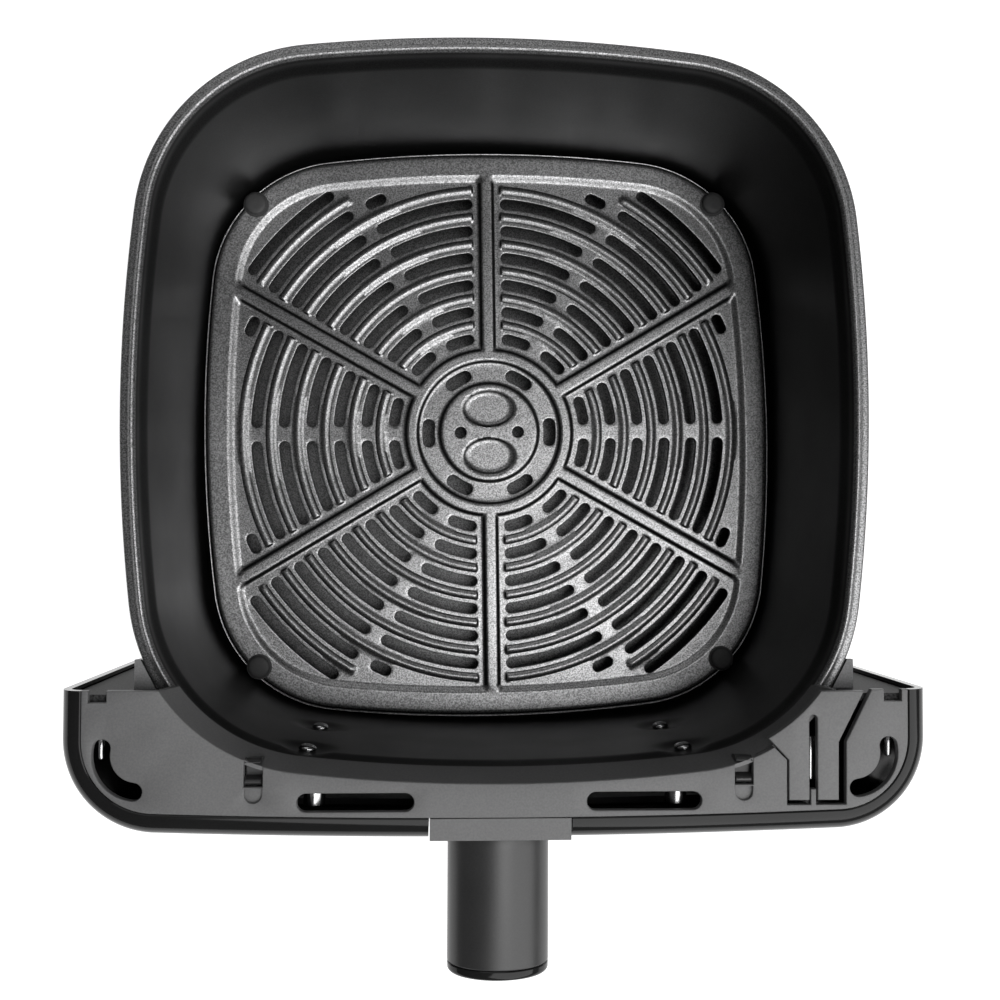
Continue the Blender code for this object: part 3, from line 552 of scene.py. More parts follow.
def guard_plastic():
    """Dark plastic of the rear guards, with painted light on the ears' upper faces."""
    finish = Finish("guard_plastic", specular=0.03)
    grain = finish.noise(1600.0, 3.0)
    normal = finish.node("ShaderNodeNewGeometry").outputs["Normal"]
    # painted light: the ears' upward faces are paler where the light falls on them
    upward = finish.remap(finish.part(normal, "Z"), 0.7, 0.95, 0.0, 0.8)
    on_ear = finish.remap(finish.part(finish.place, "Z"), 0.118, 0.122, 1.0, 0.0)
    painted_ear_light = finish.math("MULTIPLY", upward, on_ear)
    share = finish.math("ADD", painted_ear_light, finish.remap(grain, 0.35, 0.65, 0.0, 0.2))
    finish.colour(share, grey(0.012), grey(0.3))
    finish.roughness(finish.remap(grain, 0.3, 0.7, 0.45, 0.55))
    finish.bump(grain, 0.00008, 0.25)
    return finish


def make_finishes():
    """All materials, by slot name."""
    plate = plate_coating()
    pan = pan_coating()
    silicone = moulded_plastic("silicone", 0.035, 0.6, 900.0, 0.1)
    gloss = moulded_plastic("gloss_black", 0.012, 0.1, 2000.0, 0.01, 0.25)
    matte = moulded_plastic("matte_grey", 0.125, 0.5, 1600.0, 0.25)
    inner = moulded_plastic("frame_plastic", 0.03, 0.5, 1600.0, 0.2)
    grip = moulded_plastic("grip_plastic", 0.03, 0.33, 1800.0, 0.08)
    steel = Finish("steel", metallic=1.0)
    brushed = steel.noise(900.0, 4.0, stretch=(1.0, 1.0, 0.08))
    steel.colour(brushed, grey(0.42), grey(0.62))
    steel.roughness(steel.remap(brushed, 0.3, 0.7, 0.14, 0.26))
    steel.bump(brushed, 0.00005, 0.2)
    finishes = (plate, pan, silicone, gloss, matte, inner, grip, steel, guard_plastic())
    return {finish.slot: finish.material for finish in finishes}


# ---------------------------------------------------------------- crisper plate

def ease(share, corner=0.3):
    """From 0 to 1 along a straight slope with soft ends."""
    share = np.clip(share, 0, 1)
    steep = 1 / (1 - corner)
    low = steep * share ** 2 / (2 * corner)
    high = 1 - steep * (1 - share) ** 2 / (2 * corner)
    middle = steep * (share - corner / 2)
    return np.where(share < corner, low, np.where(share > 1 - corner, high, middle))


def raised(distance, crest, foot):
    """1 within crest of a line, and 0 beyond foot."""
    return ease((foot - distance) / (foot - crest))


def rib(distance):
    """The rounded section of a rib, as a share of the spokes' height."""
    share = np.clip(abs(distance) / RIB_HALF, 0, 1)
    return (1 - share ** 2) * RIB_RELIEF


def spoke_offset(x, y):
    """Distance of plan points from the nearest spoke's middle."""
    turn = np.mod(np.arctan2(y, x) - SPOKE_TURN, SIXTH)
    return np.hypot(x, y) * np.sin(np.minimum(turn, SIXTH - turn))


def plate_height(x, y):
    """Height of the plate's upper face: border, spokes, hub, ribs and the two finger dimples."""
    radius = np.hypot(x, y)
    across = spoke_offset(x, y)
    spokes = raised(across, 1.6, 3.7) * (radius > HUB_MIDDLE)
    hub = raised(abs(radius - HUB_MIDDLE), 1.3, 3.5)
    ring = FIRST_RIB + RING_PITCH * np.clip(np.round((radius - FIRST_RIB) / RING_PITCH), 0, 5)
    ribs = rib(radius - ring) * ease((across - 5.1) / 1.1)
    quarter = np.arctan2(abs(y), abs(x))
    reach = np.minimum(quarter - math.radians(33.25), math.radians(60) - quarter) * radius
    corner_ribs = rib(radius - FIRST_RIB - 6 * RING_PITCH) * ease(reach)
    border = raised(rim_inset(x, y) - PLATE_INSET, BORDER_CREST, BORDER_FOOT)
    relief = RELIEF * np.maximum.reduce((spokes, hub, ribs, corner_ribs))
    relief += (BORDER_RISE - relief) * border
    reach_in = 1 - np.hypot(x / DIMPLE_HALF_WIDTH, (abs(y) - DIMPLE_Y) / DIMPLE_HALF_LENGTH)
    oval = np.clip(reach_in * 8.5 / 2.2, 0, 1)
    dimple = DIMPLE_DEPTH * (1 - (1 - oval) ** 2)
    disc = DISC_RISE * raised(radius, *DISC_RADII)
    return PLATE_TOP + np.maximum(relief, 0) + disc - dimple


def quadrant_slots():
    """(radius, start, end) of the air slots between +X and +Y."""
    slots = []
    for ring in range(6):
        radius = FIRST_RING + ring * RING_PITCH
        edge = SPOKE_CLEARANCE / radius
        bridge = BRIDGE_HALF / radius
        slots.append((radius, bridge, SPOKE_TURN - edge))
        slots.append((radius, SPOKE_TURN + edge, SIXTH - bridge))
        slots.append((radius, SIXTH + bridge, math.pi / 2 - edge))
    outer = [(6, 22.5, 27), (6, 33.5, 58.75), (6, 62.25, 67), (7, 34.25, 57.5)]
    slots += [(FIRST_RING + ring * RING_PITCH, math.radians(a), math.radians(b)) for ring, a, b in outer]
    return slots


def plate_slots():
    """(radius, half width, start, end) of every slot of the plate."""
    slots = []
    for radius, start, end in quadrant_slots():
        for a, b in ((start, end), (-end, -start)):
            for turn in (0, math.pi):
                slots.append((radius, SLOT_HALF, a + turn, b + turn))
    reach = 5.65 / HUB_SLOT_RADIUS
    slots += [(HUB_SLOT_RADIUS, HUB_SLOT_HALF, i * SIXTH - reach, i * SIXTH + reach) for i in range(6)]
    return slots


def slot_distance(points, slots):
    """Distance of plan points from the nearest slot's edge, negative inside."""
    radius = np.hypot(points[:, 0], points[:, 1])
    angle = np.arctan2(points[:, 1], points[:, 0])
    nearest = np.full(len(points), 1e9)
    for middle, half, start, end in slots:
        centre = (start + end) / 2
        reach = (end - start) / 2 - half / middle
        turn = np.clip(np.mod(angle - centre + math.pi, 2 * math.pi) - math.pi, -reach, reach) + centre
        gap = np.hypot(points[:, 0] - middle * np.cos(turn), points[:, 1] - middle * np.sin(turn))
        nearest = np.minimum(nearest, gap - half)
    for side in (-1, 1):
        nearest = np.minimum(nearest, np.hypot(points[:, 0] - side * HOLE_X, points[:, 1]) - HOLE_RADIUS)
    return nearest


def plate_radii():
    """Radii of the rows of points that follow the hub, the rings and the ribs."""
    rows = [np.arange(0.65, 18.5, 0.65), np.linspace(18.8, 21.2, 8)]
    rows.append(HUB_SLOT_RADIUS + np.array((-2.85, -1.2, 0, 1.2, 2.85)))
    rows.append(HUB_MIDDLE + np.linspace(-3.6, 3.6, 17))
    half_rib = (0.35, 0.75, 1.15, 1.55, RIB_HALF)
    across_rib = np.array([-step for step in half_rib[::-1]] + [0, *half_rib])
    for ring in range(8):
        middle = FIRST_RING + ring * RING_PITCH
        rows.append(middle + np.array((-2.9, -1.4, 0, 1.4, 2.9)))
        rows.append(middle + RING_PITCH / 2 + across_rib)
    return np.concatenate(rows)


def plate_row(radius):
    """Points of one row: beside the spokes they follow lines parallel to them."""
    if radius < 34.9:
        return arc((0, 0), radius, 0, 2 * math.pi, max(6, round(2 * math.pi * radius / 0.65)))[:-1]
    lines = np.array((0, 0.8, 1.5, 1.9, 2.3, 2.7, 3.1, 3.5, 3.9, 4.5, 5.1, 5.4, 5.7, 6.0, 6.3))
    near = np.arcsin(lines / radius)
    gap = SIXTH - 2 * near[-1]
    between = np.linspace(near[-1], near[-1] + gap, max(2, round(gap * radius / 1.25)) + 1)[1:-1]
    turns = np.concatenate((near, between, SIXTH - near[:0:-1]))
    angles = np.concatenate([SPOKE_TURN + i * SIXTH + turns for i in range(6)])
    return np.column_stack((radius * np.cos(angles), radius * np.sin(angles)))


def plate_rim(inset):
    """The plate's outline, moved inwards."""
    return rim_outline(-PLATE_INSET - inset, 110, 70)


def slot_ring(slot, grow):
    """One slot's outline, grown outwards."""
    radius, half, start, end = slot
    return arc_slot(radius, half + grow, start, end, reach=half)


def hole_ring(side, grow):
    """One screw hole's outline, grown outwards."""
    return arc((side * HOLE_X, 0), HOLE_RADIUS + grow, 0, 2 * math.pi, 32)[:-1]


def make_crisper_plate(looks):
    """The perforated plate, with its relief, rounded slot edges, turned-down skirt and legs."""
    plate = Surface()
    slots = plate_slots()
    edge = 0.2
    inner_rim = BORDER_CREST - 0.3
    rings = [lambda grow, slot=slot: slot_ring(slot, grow)[::-1] for slot in slots]
    rings += [lambda grow, side=side: hole_ring(side, grow)[::-1] for side in (-1, 1)]
    points = np.vstack([plate_row(radius) for radius in plate_radii()])
    foot = BORDER_FOOT + 0.1
    points = points[rim_inset(points[:, 0], points[:, 1]) - PLATE_INSET > foot + 0.35]
    points = points[slot_distance(points, slots) > edge + 0.2]
    border = [plate_rim(inset) for inset in np.linspace(foot, BORDER_CREST, 7)]
    upper = plate.cap([plate_rim(inner_rim)] + [ring(edge) for ring in rings], 0, True,
                      inner=np.vstack([points] + border), height=plate_height,
                      keep=lambda centres: plate_keep(centres, slots, edge, inner_rim))
    bottom_inset = 2.3
    lower = plate.cap([plate_rim(bottom_inset)] + [ring(0.0) for ring in rings], PLATE_UNDER, False,
                      keep=lambda centres: plate_keep(centres, slots, 0.0, bottom_inset))
    for ring, high, low in zip(rings, upper[1:], lower[1:]):
        rows = [high]
        for grow, drop in ((0.1, 0.03), (0.03, 0.1), (0.0, 0.2)):
            plan = ring(grow)
            rows.append(plate.add(plan, plate_height(*ring(edge).T) - drop))
        plate.bands(rows + [low])
    crest = PLATE_TOP + BORDER_RISE
    rows = [upper[0]] + [plate.add(plate_rim(inset), crest) for inset in (7.5, 5.2)]
    for inset in (3.2, 2.7, 2.3, 2.0, 1.7, 1.45, 1.25, 1.1, 1.02):
        share = (3.2 - inset) / 2.2
        rows.append(plate.add(plate_rim(inset), crest - 2.0 * (1 - math.sqrt(max(0, 1 - share ** 2)))))
    for inset, z in ((1.0, 20.3), (0.85, 20.0), (0.6, 20.15), (0.3, 20.2), (0.08, 19.9), (0.0, 19.4),
                     (0.1, 14.0), (0.25, 13.3), (0.6, PLATE_FOOT), (1.3, PLATE_FOOT), (1.7, 13.4),
                     (1.9, 15.0), (2.1, 18.8)):
        rows.append(plate.add(plate_rim(inset), z))
    plate.bands(rows + [lower[0]])
    for quarter in range(4):
        place = Matrix.Rotation(quarter * math.pi / 2, 4, "Z") @ Matrix.Translation((LEG_PLACE, 0, 0))
        plate.turned([(2.4, 1.5), (3.2, 1.8), (LEG_RADIUS, 2.6), (LEG_RADIUS, 19.9)], place, 32)
    turn_plan(plate, PLATE_YAW)
    return make_piece(plate, "crisper_plate", looks, "plate_coating", "crisper")


def plate_keep(centres, slots, grow, inset):
    """Which plan points are metal."""
    in_rim = rim_inset(centres[:, 0], centres[:, 1]) - PLATE_INSET > inset
    return in_rim & (slot_distance(centres, slots) > grow)


def turn_plan(surface, turn):
    """Turn a surface about Z."""
    points = np.array(surface.points)
    points[:, :2] = turned_points(points[:, :2], turn)
    surface.points = points.tolist()


def make_bumpers(looks):
    """Soft bumpers that clip over the plate's edge."""
    for node in ("bumper_front_left", "bumper_front_right", "bumper_rear_left", "bumper_rear_right"):
        low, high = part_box(node)
        middle = (low + high) / 2 / MM
        bottom, top = low.z / MM, high.z / MM
        radius = (high.x - low.x) / 2 / MM
        flange = top - 2.6
        profile = [(2.8, bottom), (3.7, bottom + 0.2), (4.4, bottom + 0.7), (4.8, bottom + 1.3),
                   (4.8, bottom + 1.8), (4.1, bottom + 2.0), (4.0, flange - 0.1), (radius, flange),
                   (radius, flange + 0.15), (4.0, flange + 0.2), (4.0, flange + 1.1), (4.3, flange + 1.3),
                   (4.35, flange + 1.75), (4.1, flange + 2.15), (3.6, flange + 2.4), (2.6, flange + 2.55),
                   (1.2, top)]
        bumper = Surface()
        bumper.turned(profile, Matrix.Translation((middle.x, middle.y, 0)))
        make_piece(bumper, node, looks, "silicone", "crisper")


# ---------------------------------------------------------------- pan

def wall_inset(z):
    """Inset of the pan's inner wall at a height; it leans, and steps outwards a little below the rim."""
    low = PAN_WALL + FILLET
    share = (z - low) / (PAN_TOP - low)
    step = (RIM_INSET - TOP_INSET) * float(ease((z - STEP_HEIGHT) / STEP_RISE))
    return FLOOR_INSET + (TOP_INSET - FLOOR_INSET) * share + step


def rivet_frame(side, z):
    """Frame on the pan's inner front wall, its +Z along the wall's outward normal."""
    reach = SIDE_RADIUS - FLOOR_INSET - (TOP_INSET - FLOOR_INSET) * (z - 11) / (PAN_TOP - 11)
    lean = math.asin(RIVET_X / reach)
    spot = Vector((side * RIVET_X, CENTRE_OFFSET - reach * math.cos(lean), z))
    turn = Matrix.Rotation(side * lean, 4, "Z")
    return Matrix.Translation(spot) @ turn @ Matrix.Rotation(math.pi / 2, 4, "X")


def pressed(outline, z):
    """The wall's outline at a height, with the flats round the rivets pressed outwards."""
    points = np.array(outline)
    for side in (-1, 1):
        for height in RIVET_HEIGHTS:
            place = rivet_frame(side, height)
            outward = np.array((place[0][2], place[1][2]))
            along = (points - (place[0][3], place[1][3])) @ np.array((place[0][0], place[1][0]))
            depth = (points - (place[0][3], place[1][3])) @ outward
            distance = np.hypot(along, z - height)
            push = 1.0 * raised(distance, 5.0, 10.5) * (abs(depth) < 8)
            points += push[:, None] * outward
    return points


def make_pan(looks):
    """Deep drawn pan with a rolled rim, from the underside out and over to the inner floor."""
    pan = Surface()
    centre = (-FLOOR_INSET - FILLET, PAN_WALL + FILLET)
    heights = np.concatenate((np.linspace(centre[1], STEP_HEIGHT - 0.4, 46),
                              np.linspace(STEP_HEIGHT, STEP_HEIGHT + STEP_RISE, 12), (111.5, 112.3)))
    fillet_outer = arc(centre, FILLET + PAN_WALL, -math.pi / 2, 0, 8)
    outer = [tuple(p) for p in fillet_outer] + [(PAN_WALL - wall_inset(z), z) for z in heights[1:]]
    top = PAN_TOP
    rim = [(-3.0, top - 2.9), (-0.9, top - 2.2), (-0.3, top - 2.8), (-0.15, top - 4.8), (0.3, top - 5.0),
           (0.8, top - 5.0), (1.05, top - 4.7), (1.2, top - 3.2), (1.1, top - 2.2), (0.8, top - 1.7),
           (0.3, top - 1.5), (-0.6, top - 1.42), (-1.4, top - 1.3), (-1.85, top - 1.0), (-2.2, top - 0.5),
           (-2.5, top - 0.14), (-2.8, top), (-3.15, top - 0.06), (-3.45, top - 0.22), (-3.72, top - 0.5),
           (-3.9, top - 0.95), (-4.0, top - 1.4), (-4.07, top - 2.2)]
    inner = [(-wall_inset(z), z) for z in heights[::-1]]
    fillet_inner = arc(centre, FILLET, 0, -math.pi / 2, 8)
    profile = outer + rim + inner + [tuple(p) for p in fillet_inner[1:]]
    walled = PAN_WALL + FILLET + 1
    loops = []
    for offset, z in profile:
        outline = rim_outline(offset)
        loops.append(pressed(outline, z) if walled < z < PAN_TOP - 3 else outline)
    numbers = [pan.cap([loops[0]], profile[0][1], False)[0]]
    numbers += [pan.add(loop, z) for loop, (offset, z) in zip(loops[1:-1], profile[1:-1])]
    numbers.append(pan.cap([loops[-1]], profile[-1][1], True)[0])
    pan.bands(numbers)
    make_piece(pan, "pan", looks, "pan_coating")


def make_rivets(looks):
    """Domed rivets that hold the brackets."""
    dome = [(3.0 * math.sin(t), 0.3 - 1.5 * math.cos(t)) for t in np.linspace(0.08, math.pi / 2, 8)]
    profile = dome + [(3.0, 0.7), (1.9, 0.75), (1.9, 4.7), (3.2, 4.7), (3.2, 5.1), (2.9, 5.5), (1.8, 5.8)]
    frames = [rivet_frame(side, z) for side in (-1, 1) for z in RIVET_HEIGHTS]
    for number, place in enumerate(frames, 1):
        rivet = Surface()
        rivet.turned(profile, place)
        make_piece(rivet, f"pan_rivet_{number}", looks, "steel")


# ---------------------------------------------------------------- front housing

def make_front_shell(looks):
    """Glossy outer wall with a rounded lip and a notch for the handle's mount."""
    shell = Surface()
    lip_centre = (SHELL_LIP, HOUSING_TOP - SHELL_LIP)
    outer = arc(lip_centre, SHELL_LIP, math.pi, math.pi / 2, 14)
    inner = arc(lip_centre, SHELL_LIP - SHELL_WALL, math.pi / 2, math.pi, 10)
    end = [(SHELL_LIP, HOUSING_TOP - 0.2), (SHELL_LIP, HOUSING_TOP - SHELL_WALL + 0.2)]
    foot = [(SHELL_WALL, NOTCH_FLOOR), (SHELL_WALL, HOUSING_BOTTOM), (1.4, HOUSING_BOTTOM),
            (0.8, HOUSING_BOTTOM + 0.4), (0.2, HOUSING_BOTTOM + 4), (0, HOUSING_BOTTOM + 8)]
    outer_wall = [(0, z) for z in (40, 70, NOTCH_FLOOR, 108)]
    profile = outer_wall + [tuple(p) for p in outer[:-1]] + [(SHELL_LIP - 0.35, HOUSING_TOP)] + end
    profile += [tuple(p) for p in inner[1:]] + [(SHELL_WALL, 108)] + foot
    rows = [shell.add(housing_outline(offset), z) for offset, z in profile]
    plan = housing_outline(0)
    in_notch = [abs(a[0]) <= NOTCH_HALF + 0.01 and abs(b[0]) <= NOTCH_HALF + 0.01 and a[1] < -130
                for a, b in zip(plan, plan[1:])]
    count = len(profile)
    for i in range(count):
        j = (i + 1) % count
        high = min(profile[i][1], profile[j][1]) >= NOTCH_FLOOR
        for k, open_here in enumerate(in_notch):
            if not (high and open_here):
                shell.faces.append((rows[i][k], rows[i][k + 1], rows[j][k + 1], rows[j][k]))
    low_outer = next(i for i, p in enumerate(profile) if p == (0, NOTCH_FLOOR))
    low_inner = next(i for i, p in enumerate(profile) if p == (SHELL_WALL, NOTCH_FLOOR))
    columns = [k for k, open_here in enumerate(in_notch) if open_here]
    for k in columns:
        shell.faces.append((rows[low_inner][k], rows[low_inner][k + 1], rows[low_outer][k + 1],
                            rows[low_outer][k]))
    for k in (columns[0], columns[-1] + 1):
        shell.faces.append(tuple(rows[i][k] for i in range(low_outer, low_inner + 1)))
    for k in (0, len(plan) - 1):
        shell.faces.append(tuple(row[k] for row in rows))
    make_piece(shell, "front_shell", looks, "gloss_black", angle=30)


def corner_slot(side):
    """The curved air slot in one corner of the cover."""
    outline = arc_slot(11.2, 2.8, math.radians(154), math.radians(278), centre=(-112.5, -110.5))
    return outline if side < 0 else mirrored(outline)


def switch_legs(left=0.0, right=0.0, front=0.0):
    """Left and right edges of the two-legged switch plate in plan, with room added on each side."""
    left_edge = [(91.3 - left, -112.7), (91.3 - left, -125.4 - front)]
    right_edge = [(107.3 + right, -125.4 - front), (107.4 + right, -107.1), (115.6 + right, -91.0)]
    return left_edge, right_edge


def box_outline(x0, x1, y0, y1):
    """A rectangle, counterclockwise."""
    return np.array(((x0, y0), (x1, y0), (x1, y1), (x0, y1)), float)


def dimple_outline(side):
    """The D-shaped pocket in front of each clip."""
    x = side * CLIP_X
    round_part = arc((x, -122.6), 2.7, math.pi, 2 * math.pi, 16)
    return np.vstack((round_part, [(x + 2.7, -120.9), (x - 2.7, -120.9)]))


def cover_cutters():
    """Everything that is cut through the top cover."""
    cutters = []
    for side in (-1, 1):
        near, far = sorted((side * 27.1, side * 63.5))
        cutters.append(stadium(near, far, -125.3, 2.85))
        cutters.append(corner_slot(side))
        near, far = sorted((side * 122.2, side * 127.8))
        cutters.append(box_outline(near, far, -94.2, HOUSING_REAR + 1))
        x = side * CLIP_X
        cutters.append(box_outline(x - 2.9, x + 2.9, -120.3, -110.0))
        cutters.append(dimple_outline(side))
    left_edge, right_edge = switch_legs(left=0.5, right=2.4, front=1.4)
    right_edge[-1] = (right_edge[-1][0] + 0.6, HOUSING_REAR + 1)
    over_pan = [(95.0, HOUSING_REAR + 1), (80.0, -102.0)]
    tongue = [(98.3, -126.8), (98.3, -121.9), (100.1, -121.9), (100.1, -126.8)]
    cutters.append(np.array(over_pan + left_edge + tongue + right_edge))
    return cutters


def make_top_cover(looks):
    """Matte cover round the front of the pan, with a collar that hides the pan's rim."""
    cover = Surface()
    outline = np.vstack((housing_outline(SHELL_LIP + COVER_SEAM), front_arc(-2.8)))[::-1]
    cover.plate(region_loops(outline, cover_cutters()), HOUSING_TOP - COVER_THICKNESS, HOUSING_TOP, 0.4)
    for side in (-1, 1):
        cover.plate([inset_loop(dimple_outline(side), -0.5)], HOUSING_TOP - 2.3, HOUSING_TOP - 1.2, 0.1)
    add_collar(cover)
    make_piece(cover, "top_cover", looks, "matte_grey", angle=30)


def add_collar(cover):
    """The sloping collar below the cover's pan-side edge; it is lower under the switch plate."""
    foot = PAN_TOP + 0.3
    profile = [(-5.7, foot + 0.5), (-5.4, foot + 1.9), (-2.82, HOUSING_TOP - 0.3),
               (-1.6, HOUSING_TOP - 0.4), (-1.6, HOUSING_TOP - 2.4), (-3.7, foot + 0.2),
               (-4.2, foot), (-5.4, foot)]
    rows = []
    for offset, z in profile:
        plan = front_arc(offset, HOUSING_REAR - 0.2)
        beside_switch = (plan[:, 0] > 81) & (plan[:, 1] > -121)
        rows.append(cover.add(plan, np.where(beside_switch, min(z, 126.5), z)))
    cover.bands(rows + rows[:1], closed=False)
    cover.faces.append(tuple(row[0] for row in rows))
    cover.faces.append(tuple(row[-1] for row in reversed(rows)))


def make_switch_plate(looks):
    """Two-legged plate that tells the machine the drawer is in."""
    left_edge, right_edge = switch_legs()
    along_pan = arc((CORNER_CENTRE, -CORNER_CENTRE), CORNER_RADIUS - 6.2,
                    math.radians(-37.1), math.radians(-60.6), 30)
    slot_top = arc((99.2, -99.8), 1.3, 0, math.pi, 12)
    gap = [(97.9, -125.4)] + slot_top[::-1].tolist() + [(100.5, -125.4)]
    outline = np.array(along_pan.tolist() + left_edge + gap + right_edge)
    top = HOUSING_TOP + 0.2
    switch = Surface()
    switch.plate(region_loops(outline, []), top - COVER_THICKNESS, top, 0.35)
    switch.plate([box_outline(101.5, 104.5, -120, -108)], 112, top - 1, 0.3)
    make_piece(switch, "switch_plate", looks, "matte_grey", angle=30)


def make_cover_clips(looks):
    """Snap clips that hold the top cover beside the pan."""
    side_view = [(-111.6, 124.5), (-111.6, 127.6), (-112.8, 129.5), (-113.4, 126.4),
                 (-117.2, 125.6), (-117.8, 128.5), (-118.6, 129.3), (-119.5, 128.8),
                 (-119.9, 127.8), (-119.9, 121.6), (-114.0, 121.6)]
    outline = rounded(side_view, 0.5)
    half, edge = 2.6, 0.3
    for side, node in ((-1, "cover_clip_left"), (1, "cover_clip_right")):
        clip = Surface()
        x = side * CLIP_X
        inner = inset_loop(np.array(outline)[::-1], edge)[::-1]
        slices = ((-half, inner), (-half + edge, outline), (half - edge, outline), (half, inner))
        clip.close([clip.row((x + dx, y, z) for y, z in loop) for dx, loop in slices])
        make_piece(clip, node, looks, "grip_plastic")


def make_slot_pins(looks):
    """Bright round bars that show through the cover's air slots."""
    pins = Surface()
    for x, front, rear, z, radius in ((-59, -128.1, -122.5, 119, 3.5), (57, -128.1, -122.5, 119, 3.5),
                                      (99.2, -119.5, -106, 126, 0.9), (124.4, -112.0, -105.5, 126, 1.0),
                                      (-124.4, -112.0, -105.5, 126, 1.0)):
        bar = Matrix.Translation((x, front, z)) @ Matrix.Rotation(-math.pi / 2, 4, "X")
        pins.turned([(radius * 0.7, 0), (radius, 0.4), (radius, rear - front - 0.4),
                     (radius * 0.7, rear - front)], bar, 32)
    make_piece(pins, "slot_pins", looks, "steel", extra=True)


# ---------------------------------------------------------------- handle

def make_handle_shells(looks):
    """Upper and lower halves of the grip, as thick half tubes with a seam between them."""
    half = 48
    seam = 0.15
    for node, turn in (("handle_upper", 1), ("handle_lower", -1)):
        shell = Surface()
        angles = np.linspace(0, math.pi, half + 1)
        outer = [(HANDLE_HALF_WIDTH * math.cos(a), HANDLE_HALF_HEIGHT * math.sin(a)) for a in angles]
        wide, high = HANDLE_HALF_WIDTH - HANDLE_WALL, HANDLE_HALF_HEIGHT - HANDLE_WALL
        inner = [(wide * math.cos(a), high * math.sin(a)) for a in angles[::-1]]
        edge = 0.25
        outer[0] = (HANDLE_HALF_WIDTH - edge, 0)
        outer[-1] = (-HANDLE_HALF_WIDTH + edge, 0)
        section = outer[:1] + [(HANDLE_HALF_WIDTH, edge)] + outer[1:-1]
        section += [(-HANDLE_HALF_WIDTH, edge)] + outer[-1:] + inner
        rows = []
        between = np.linspace(-142, -179, 8)
        for y in (HANDLE_ROOT, HANDLE_ROOT - 0.4, *between, HANDLE_END + 0.3, HANDLE_END):
            shrink = 0.985 if y in (HANDLE_ROOT, HANDLE_END) else 1.0
            ring = [(x * shrink, y, HANDLE_Z + turn * (seam + z * shrink)) for x, z in section]
            rows.append(shell.row(ring))
        shell.close(rows)
        make_piece(shell, node, looks, "grip_plastic", angle=30)


def make_handle_end_cap(looks):
    """Rounded cap that closes the handle's end."""
    cap = Surface()
    start = HANDLE_END - 0.3
    sections = [(0.6, start + 1.8), (0.6, start), (0.985, start), (1.0, start - 0.3), (1.0, start - 1.5)]
    for turn in np.linspace(0, math.pi / 2, 8)[1:]:
        sections.append((0.9 + 0.1 * math.cos(turn), start - 1.5 - 1.6 * math.sin(turn)))
    sections += [(0.6, start - 3.3), (0.25, start - 3.4)]
    rings = [(ellipse(HANDLE_HALF_WIDTH * scale, HANDLE_HALF_HEIGHT * scale), y) for scale, y in sections]
    cap.close([cap.row((x, y, HANDLE_Z + z) for x, z in ring) for ring, y in rings])
    make_piece(cap, "handle_end_cap", looks, "gloss_black", angle=30)


# ---------------------------------------------------------------- CAD nodes that stay

def dress_cad_nodes(looks):
    """Give every CAD node its finish, and a small rounding to the ones that stay in sight."""
    slots = {"pan": "pan_coating", "crisper_plate": "plate_coating", "front_shell": "gloss_black",
             "handle_end_cap": "gloss_black", "bottom_cover": "frame_plastic",
             "inner_frame": "frame_plastic", "handle_upper": "grip_plastic",
             "handle_lower": "grip_plastic", "handle_core": "steel"}
    by_start = (("bumper", "silicone"), ("pan_bracket", "steel"), ("pan_rivet", "steel"),
                ("rear_guard", "guard_plastic"))
    softened = ("rear_guard_left", "rear_guard_right", "handle_mount", "bottom_cover", "inner_frame",
                "pan_bracket_left", "pan_bracket_right", "handle_core")
    for name, thing in cad_objects():
        slot = slots.get(name, "steel" if "screw" in name else "matte_grey")
        for start, other in by_start:
            slot = other if name.startswith(start) else slot
        thing.data.materials.clear()
        thing.data.materials.append(looks[slot])
        if name in softened:
            bevel = thing.modifiers.new("edges", "BEVEL")
            bevel.width = 0.00035
            bevel.segments = 2
            bevel.limit_method = "ANGLE"
            bevel.angle_limit = math.radians(40)
            bevel.harden_normals = False


def cad_objects():
    """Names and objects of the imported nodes."""
    return [(name, bpy.data.objects[name]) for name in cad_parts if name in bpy.data.objects]


# ---------------------------------------------------------------- studio

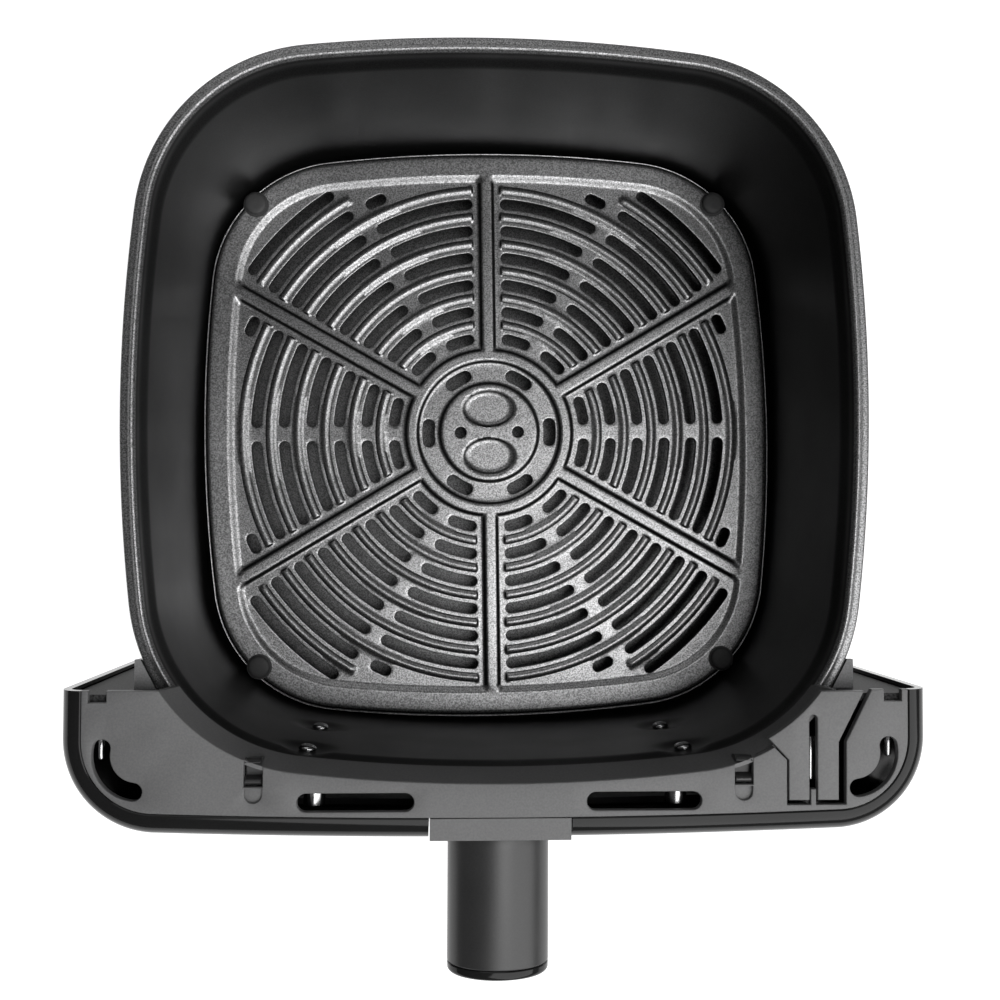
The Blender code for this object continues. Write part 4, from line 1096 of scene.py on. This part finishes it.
def make_floor():
    """Plain white floor, bright enough to lose the shadows as a light table does."""
    bpy.ops.mesh.primitive_plane_add(size=40, location=(0, 0, -0.0005))
    floor = bpy.context.object
    floor.name = "floor"
    finish = Finish("floor_white", roughness=0.9)
    finish.shader.inputs["Base Color"].default_value = (0.3, 0.3, 0.3, 1)
    finish.shader.inputs["Emission Color"].default_value = (1, 1, 1, 1)
    finish.shader.inputs["Emission Strength"].default_value = 1.0
    floor.data.materials.append(finish.material)


def area_light(name, place, target, size, power, size_y=None):
    """A soft area light that points at a target."""
    light = bpy.data.lights.new(name, "AREA")
    light.shape = "RECTANGLE"
    light.size = size
    light.size_y = size_y or size
    light.energy = power
    lamp = bpy.data.objects.new(name, light)
    lamp.location = place
    lamp.rotation_euler = (Vector(target) - Vector(place)).to_track_quat("-Z", "Y").to_euler()
    lamp.visible_camera = False
    bpy.context.scene.collection.objects.link(lamp)


def make_lights():
    """Wide key from the front right, a small softbox overhead, a weak fill from behind, and a dim room."""
    area_light("key", (0.75, -0.75, 1.25), (0, 0, 0.02), 2.2, 30, 1.7)
    area_light("softbox", (0.25, -0.2, 1.6), (0, 0, 0.02), 0.6, 5)
    area_light("fill", (-0.2, 1.1, 1.0), (0, 0, 0.05), 1.0, 2)
    world = bpy.data.worlds.new("room")
    world.use_nodes = True
    world.node_tree.nodes["Background"].inputs["Color"].default_value = (1, 1, 1, 1)
    world.node_tree.nodes["Background"].inputs["Strength"].default_value = 0.065
    bpy.context.scene.world = world
    bpy.context.scene.view_settings.view_transform = "Standard"


def make_camera():
    """Camera above the drawer, looking almost straight down."""
    data = bpy.data.cameras.new("camera")
    data.lens = 43.2
    data.sensor_width = 36
    camera = bpy.data.objects.new("camera", data)
    camera.location = (-0.01877, -0.04288, 0.5072)
    camera.rotation_euler = [math.radians(a) for a in (1.815, -2.755, 0.224)]
    bpy.context.scene.collection.objects.link(camera)
    bpy.context.scene.camera = camera


def build():
    """Make everything."""
    make_camera()
    looks = make_finishes()
    dress_cad_nodes(looks)
    make_pan(looks)
    make_rivets(looks)
    make_crisper_plate(looks)
    make_bumpers(looks)
    make_front_shell(looks)
    make_top_cover(looks)
    make_switch_plate(looks)
    make_cover_clips(looks)
    make_slot_pins(looks)
    make_handle_shells(looks)
    make_handle_end_cap(looks)
    make_floor()
    make_lights()


build()
